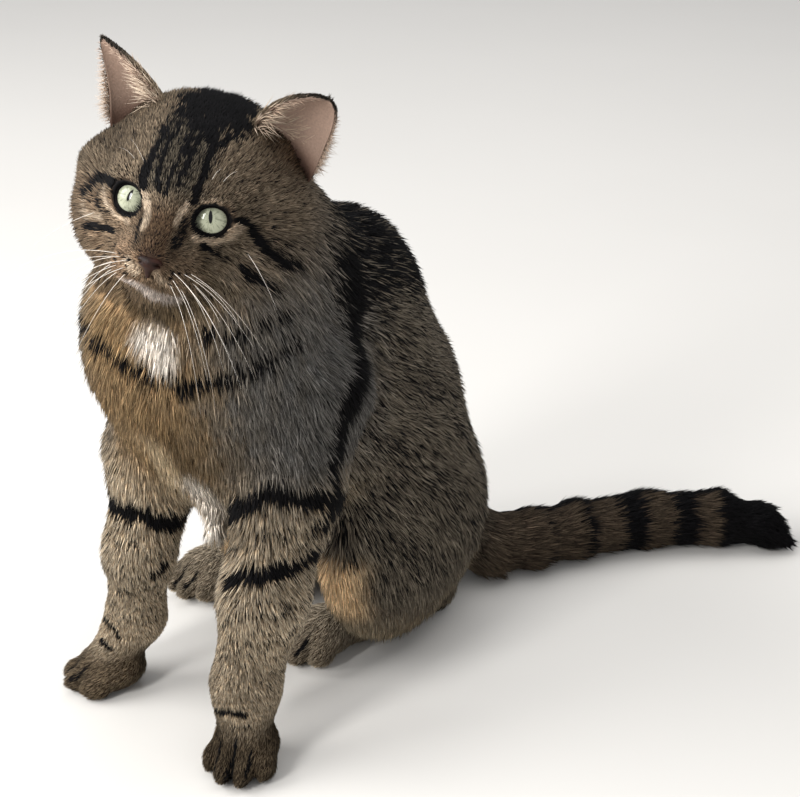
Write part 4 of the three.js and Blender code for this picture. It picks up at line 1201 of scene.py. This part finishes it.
iris, tree, shader = material("wet_eye", Roughness=0.6, Specular_IOR_Level=0.05, Coat_Weight=1.0, Coat_Roughness=0.02, Coat_IOR=1.38)
place = node(tree, "ShaderNodeUVMap", uv_map="IrisMap")
centred = node(tree, "ShaderNodeVectorMath", {0: place.outputs["UV"]}, operation="SUBTRACT")
centred.inputs[1].default_value = (0.5, 0.5, 0)
radius = node(tree, "ShaderNodeVectorMath", {0: centred.outputs["Vector"]}, operation="LENGTH")
direction = node(tree, "ShaderNodeVectorMath", {0: centred.outputs["Vector"]}, operation="NORMALIZE")
fibres = node(tree, "ShaderNodeTexNoise", {"Vector": direction.outputs["Vector"]}, in_Scale=9.0, in_Detail=5.0)
blotch = node(tree, "ShaderNodeTexNoise", {"Vector": place.outputs["UV"]}, in_Scale=14.0, in_Detail=3.0)
pattern = node(tree, "ShaderNodeMath", {0: fibres.outputs["Fac"], 1: blotch.outputs["Fac"]}, operation="ADD")
base = node(tree, "ShaderNodeValToRGB", {"Fac": pattern.outputs["Value"]})
ramp = base.color_ramp
ramp.elements[0].position = 0.7
ramp.elements[0].color = (*linear("696b57"), 1)
ramp.elements[1].position = 1.0
ramp.elements[1].color = (*linear("989a84"), 1)
tree_mid = ramp.elements.new(0.88)
tree_mid.color = (*linear("81836e"), 1)
limbus = node(tree, "ShaderNodeMapRange", {"Value": radius.outputs["Value"]}, interpolation_type="SMOOTHSTEP")
limbus.inputs["From Min"].default_value = (IRIS_RADIUS - 1.0) / 24
limbus.inputs["From Max"].default_value = (IRIS_RADIUS + 0.3) / 24
edge = node(tree, "ShaderNodeMix", {0: limbus.outputs["Result"], 6: base.outputs["Color"]}, data_type="RGBA")
edge.inputs[7].default_value = (*linear("15120f"), 1)
warp = node(tree, "ShaderNodeSeparateXYZ", {"Vector": centred.outputs["Vector"]})
tilted = node(tree, "ShaderNodeVectorRotate", {"Vector": centred.outputs["Vector"]}, rotation_type="Z_AXIS")
tilted.inputs["Angle"].default_value = 0.0
scaled = node(tree, "ShaderNodeVectorMath", {0: tilted.outputs["Vector"]}, operation="MULTIPLY")
scaled.inputs[1].default_value = (24 / 0.95, 24 / 3.0, 0)
slit = node(tree, "ShaderNodeVectorMath", {0: scaled.outputs["Vector"]}, operation="LENGTH")
pupil = node(tree, "ShaderNodeMapRange", {"Value": slit.outputs["Value"]}, interpolation_type="SMOOTHSTEP")
pupil.inputs["From Min"].default_value = 0.85
pupil.inputs["From Max"].default_value = 1.12
dark = node(tree, "ShaderNodeMix", {0: pupil.outputs["Result"], 7: edge.outputs[2]}, data_type="RGBA")
dark.inputs[6].default_value = (*linear("020202"), 1)
tree.links.new(dark.outputs[2], shader.inputs["Base Color"])

for name, side in (("left", 1), ("right", -1)):
    globe = eye_globe(f"eyeball_{name}", side)
    globe.data.materials.append(iris)
    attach(globe, "root")
    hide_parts(f"eye_{name}")

# ---------------------------------------------------------------------------------------------
# Nose leather: a bare pad, broad above and pointed below, with a comma-shaped nostril each side.

NOSE_GRID = 0.42


def nose_field(p):
    q = folded(to_head(p))
    top = ellipsoid((0, -55.8, -20.0), (5.0, 3.3, 2.6))(q)
    side = ellipsoid((3.2, -55.2, -20.6), (2.7, 2.7, 2.3))(q)
    point = round_cone((0, -56.2, -22.0), (0, -55.8, -27.4), 2.7, 1.0)(q)
    pad = blend(blend(top, side, 2.0), point, 2.2)
    nostril = round_cone((3.3, -59.0, -20.8), (4.9, -56.2, -20.6), 0.85, 0.8)(q)
    wing = round_cone((4.9, -56.8, -20.6), (6.2, -54.5, -22.4), 0.6, 0.4)(q)
    hole = np.minimum(nostril, wing)
    crease = round_cone((0, -59.5, -23.0), (0, -57.6, -27.0), 0.35, 0.45)(q)
    return np.maximum(np.maximum(pad, -hole), -crease)


low = from_head(NOSE_AT[None])[0] - 14
count = int(28 / NOSE_GRID)
axis = np.arange(count) * NOSE_GRID
cells = np.stack(np.meshgrid(axis, axis, axis, indexing="ij"), -1).reshape(-1, 3) + low
values = np.clip(nose_field(cells.astype(np.float32)), -2, 2).reshape(count, count, count)
grid = openvdb.FloatGrid(3.0)
grid.copyFromArray(np.ascontiguousarray(values / NOSE_GRID).astype(np.float32))
points, quads = grid.convertToQuads(0.0)
quads = quads[:, ::-1].astype(np.int64)
nose = mesh_object("nose_leather", low + points * NOSE_GRID, np.concatenate([quads[:, [0, 1, 2]], quads[:, [0, 2, 3]]]))
leather, tree, shader = material("damp_nose_leather", Roughness=0.5, Specular_IOR_Level=0.18)
place = node(tree, "ShaderNodeTexCoord")
pebbles = node(tree, "ShaderNodeTexVoronoi", {"Vector": place.outputs["Object"]}, in_Scale=1600.0)
tone = node(tree, "ShaderNodeTexNoise", {"Vector": place.outputs["Object"]}, in_Scale=260.0, in_Detail=3.0)
ramp = node(tree, "ShaderNodeValToRGB", {"Fac": tone.outputs["Fac"]})
ramp.color_ramp.elements[0].position = 0.3
ramp.color_ramp.elements[0].color = (*linear("140703"), 1)
ramp.color_ramp.elements[1].position = 0.7
ramp.color_ramp.elements[1].color = (*linear("2c140b"), 1)
tree.links.new(ramp.outputs["Color"], shader.inputs["Base Color"])
bump = node(tree, "ShaderNodeBump", {"Height": pebbles.outputs["Distance"]}, in_Strength=0.4, in_Distance=0.0002)
tree.links.new(bump.outputs["Normal"], shader.inputs["Normal"])
nose.data.materials.append(leather)
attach(nose, "root")
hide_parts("nose")

# ---------------------------------------------------------------------------------------------
# Whiskers: stiff tapered hairs in rows on each lip pad, a few over each eye and on each cheek.

WHISKER_SIDES = 5
WHISKER_STEPS = 14
WHISKERS = []
for row in range(3):
    for column in range(4 - (row == 0)):
        start = (10.5 + 3.2 * column, -53.4 + 2.4 * column - 0.3 * row, -23.0 - 3.0 * row)
        way = (0.62 + 0.12 * column, -0.34 + 0.2 * column, -0.12 - 0.26 * row)
        WHISKERS.append((start, way, 47 - 4 * row - 2 * abs(column - 1.5), 0.125, 20 + 5 * row))
for i in range(2):
    WHISKERS.append(((15.5 + 5.0 * i, -34.5 + 1.5 * i, 16.5 + 0.8 * i), (0.25 + 0.15 * i, -0.45, 0.8), 22 - 2 * i, 0.12, 6))
WHISKERS.append(((38, -29, -13), (0.8, -0.35, -0.5), 28, 0.13, 8))


def whisker(start, way, length, radius, sag, side):
    s = np.linspace(0, 1, WHISKER_STEPS + 1)
    way = unit(way)
    path = np.array(start) + way * s[:, None] * length
    path[:, 2] -= sag * s**2
    path[:, 1] += 0.12 * length * s**2
    path = from_head(path * (side, 1, 1))
    along = unit(np.gradient(path, axis=0))
    beside = unit(np.cross(along, (0.1, 0.2, 1.0)))
    over = np.cross(beside, along)
    a = np.linspace(0, 2 * math.pi, WHISKER_SIDES, endpoint=False)[None, :, None]
    wide = radius * (1 - 0.86 * s)[:, None, None]
    ring = path[:, None] + (beside[:, None] * np.cos(a) + over[:, None] * np.sin(a)) * wide
    points = np.concatenate([ring.reshape(-1, 3), path[:1], path[-1:]])
    faces = []
    n = WHISKER_SIDES
    for k in range(WHISKER_STEPS):
        for i in range(n):
            a0, b0 = k * n + i, k * n + (i + 1) % n
            faces += [(a0, b0, b0 + n), (a0, b0 + n, a0 + n)]
    first, last = len(points) - 2, len(points) - 1
    for i in range(n):
        faces.append((first, (i + 1) % n, i))
        faces.append((last, WHISKER_STEPS * n + i, WHISKER_STEPS * n + (i + 1) % n))
    faces = np.array(faces)
    corners = points[faces] - path[0]
    if (corners[:, 0] * np.cross(corners[:, 1], corners[:, 2])).sum() < 0:
        faces = faces[:, ::-1]
    return points, faces


bristle, tree, shader = material("whisker_bristle", Roughness=0.35, Specular_IOR_Level=0.5)
place = node(tree, "ShaderNodeTexCoord")
tone = node(tree, "ShaderNodeTexNoise", {"Vector": place.outputs["Object"]}, in_Scale=60.0)
ramp = node(tree, "ShaderNodeValToRGB", {"Fac": tone.outputs["Fac"]})
ramp.color_ramp.elements[0].color = (*linear("cdbfae"), 1)
ramp.color_ramp.elements[1].color = (*linear("fbf6ee"), 1)
tree.links.new(ramp.outputs["Color"], shader.inputs["Base Color"])
whisker_points = []
whisker_faces = []
total = 0
for side in (1, -1):
    for start, way, length, radius, sag in WHISKERS:
        bend = rng.normal(0, 0.06, 3)
        points, faces = whisker(start, np.array(way) + bend, length * rng.uniform(0.85, 1.1), radius, sag, side)
        whisker_points.append(points)
        whisker_faces.append(faces + total)
        total += len(points)
whiskers = mesh_object("whiskers", np.concatenate(whisker_points), np.concatenate(whisker_faces))
whiskers.data.materials.append(bristle)
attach(whiskers, "root")

# ---------------------------------------------------------------------------------------------
# Claws: horn, pale, mottled darker and lighter at random.

horn, tree, shader = material("claw_horn", Roughness=0.3, Specular_IOR_Level=0.5)
place = node(tree, "ShaderNodeTexCoord")
tone = node(tree, "ShaderNodeTexNoise", {"Vector": place.outputs["Object"]}, in_Scale=500.0, in_Detail=2.0)
ramp = node(tree, "ShaderNodeValToRGB", {"Fac": tone.outputs["Fac"]})
ramp.color_ramp.elements[0].color = (*linear("8d7d69"), 1)
ramp.color_ramp.elements[1].color = (*linear("e2d7c3"), 1)
tree.links.new(ramp.outputs["Color"], shader.inputs["Base Color"])
for name, claw in nodes.items():
    if "claw" in name:
        for slot in claw.material_slots:
            slot.material = horn

# ---------------------------------------------------------------------------------------------
# Floor and light: a plain pale floor, one broad window of light from the side that the cat looks
# to, and a weak fill from the other.

floor_mesh = bpy.data.meshes.new("floor")
floor_mesh.from_pydata([(-6, -4, 0), (6, -4, 0), (6, 8, 0), (-6, 8, 0)], [], [(0, 1, 2, 3)])
floor = bpy.data.objects.new("floor", floor_mesh)
scene.collection.objects.link(floor)
paint, tree, shader = material("pale_floor", Roughness=0.6, Specular_IOR_Level=0.3)
place = node(tree, "ShaderNodeTexCoord")
tone = node(tree, "ShaderNodeTexNoise", {"Vector": place.outputs["Object"]}, in_Scale=3.0, in_Detail=3.0)
ramp = node(tree, "ShaderNodeValToRGB", {"Fac": tone.outputs["Fac"]})
ramp.color_ramp.elements[0].color = (*linear("c4c1bc"), 1)
ramp.color_ramp.elements[1].color = (*linear("c9c6c1"), 1)
tree.links.new(ramp.outputs["Color"], shader.inputs["Base Color"])
floor_mesh.materials.append(paint)

world = bpy.data.worlds.new("studio")
scene.world = world
world.use_nodes = True
world.node_tree.nodes["Background"].inputs["Color"].default_value = (0.94, 0.96, 1.0, 1)
world.node_tree.nodes["Background"].inputs["Strength"].default_value = 0.62

MIDDLE = Vector(placed(np.array([20.0, 90.0, 190.0])))
for name, place, size, power in (
    ("window", (-1.2, -1.0, 1.05), (1.3, 1.3), 42),
    ("lamp", (-0.16, -1.4, 0.93), (0.28, 0.7), 19),
    ("overhead", (0.0, 0.4, 2.1), (2.2, 2.2), 28),
    ("fill", (1.5, -0.6, 0.6), (1.2, 1.2), 3),
):
    light = bpy.data.lights.new(name, "AREA")
    light.shape = "RECTANGLE"
    light.size, light.size_y = size
    light.energy = power
    lamp = bpy.data.objects.new(name, light)
    lamp.location = Vector(place)
    lamp.rotation_mode = "QUATERNION"
    lamp.rotation_quaternion = (MIDDLE - lamp.location).to_track_quat("-Z", "Y")
    scene.collection.objects.link(lamp)
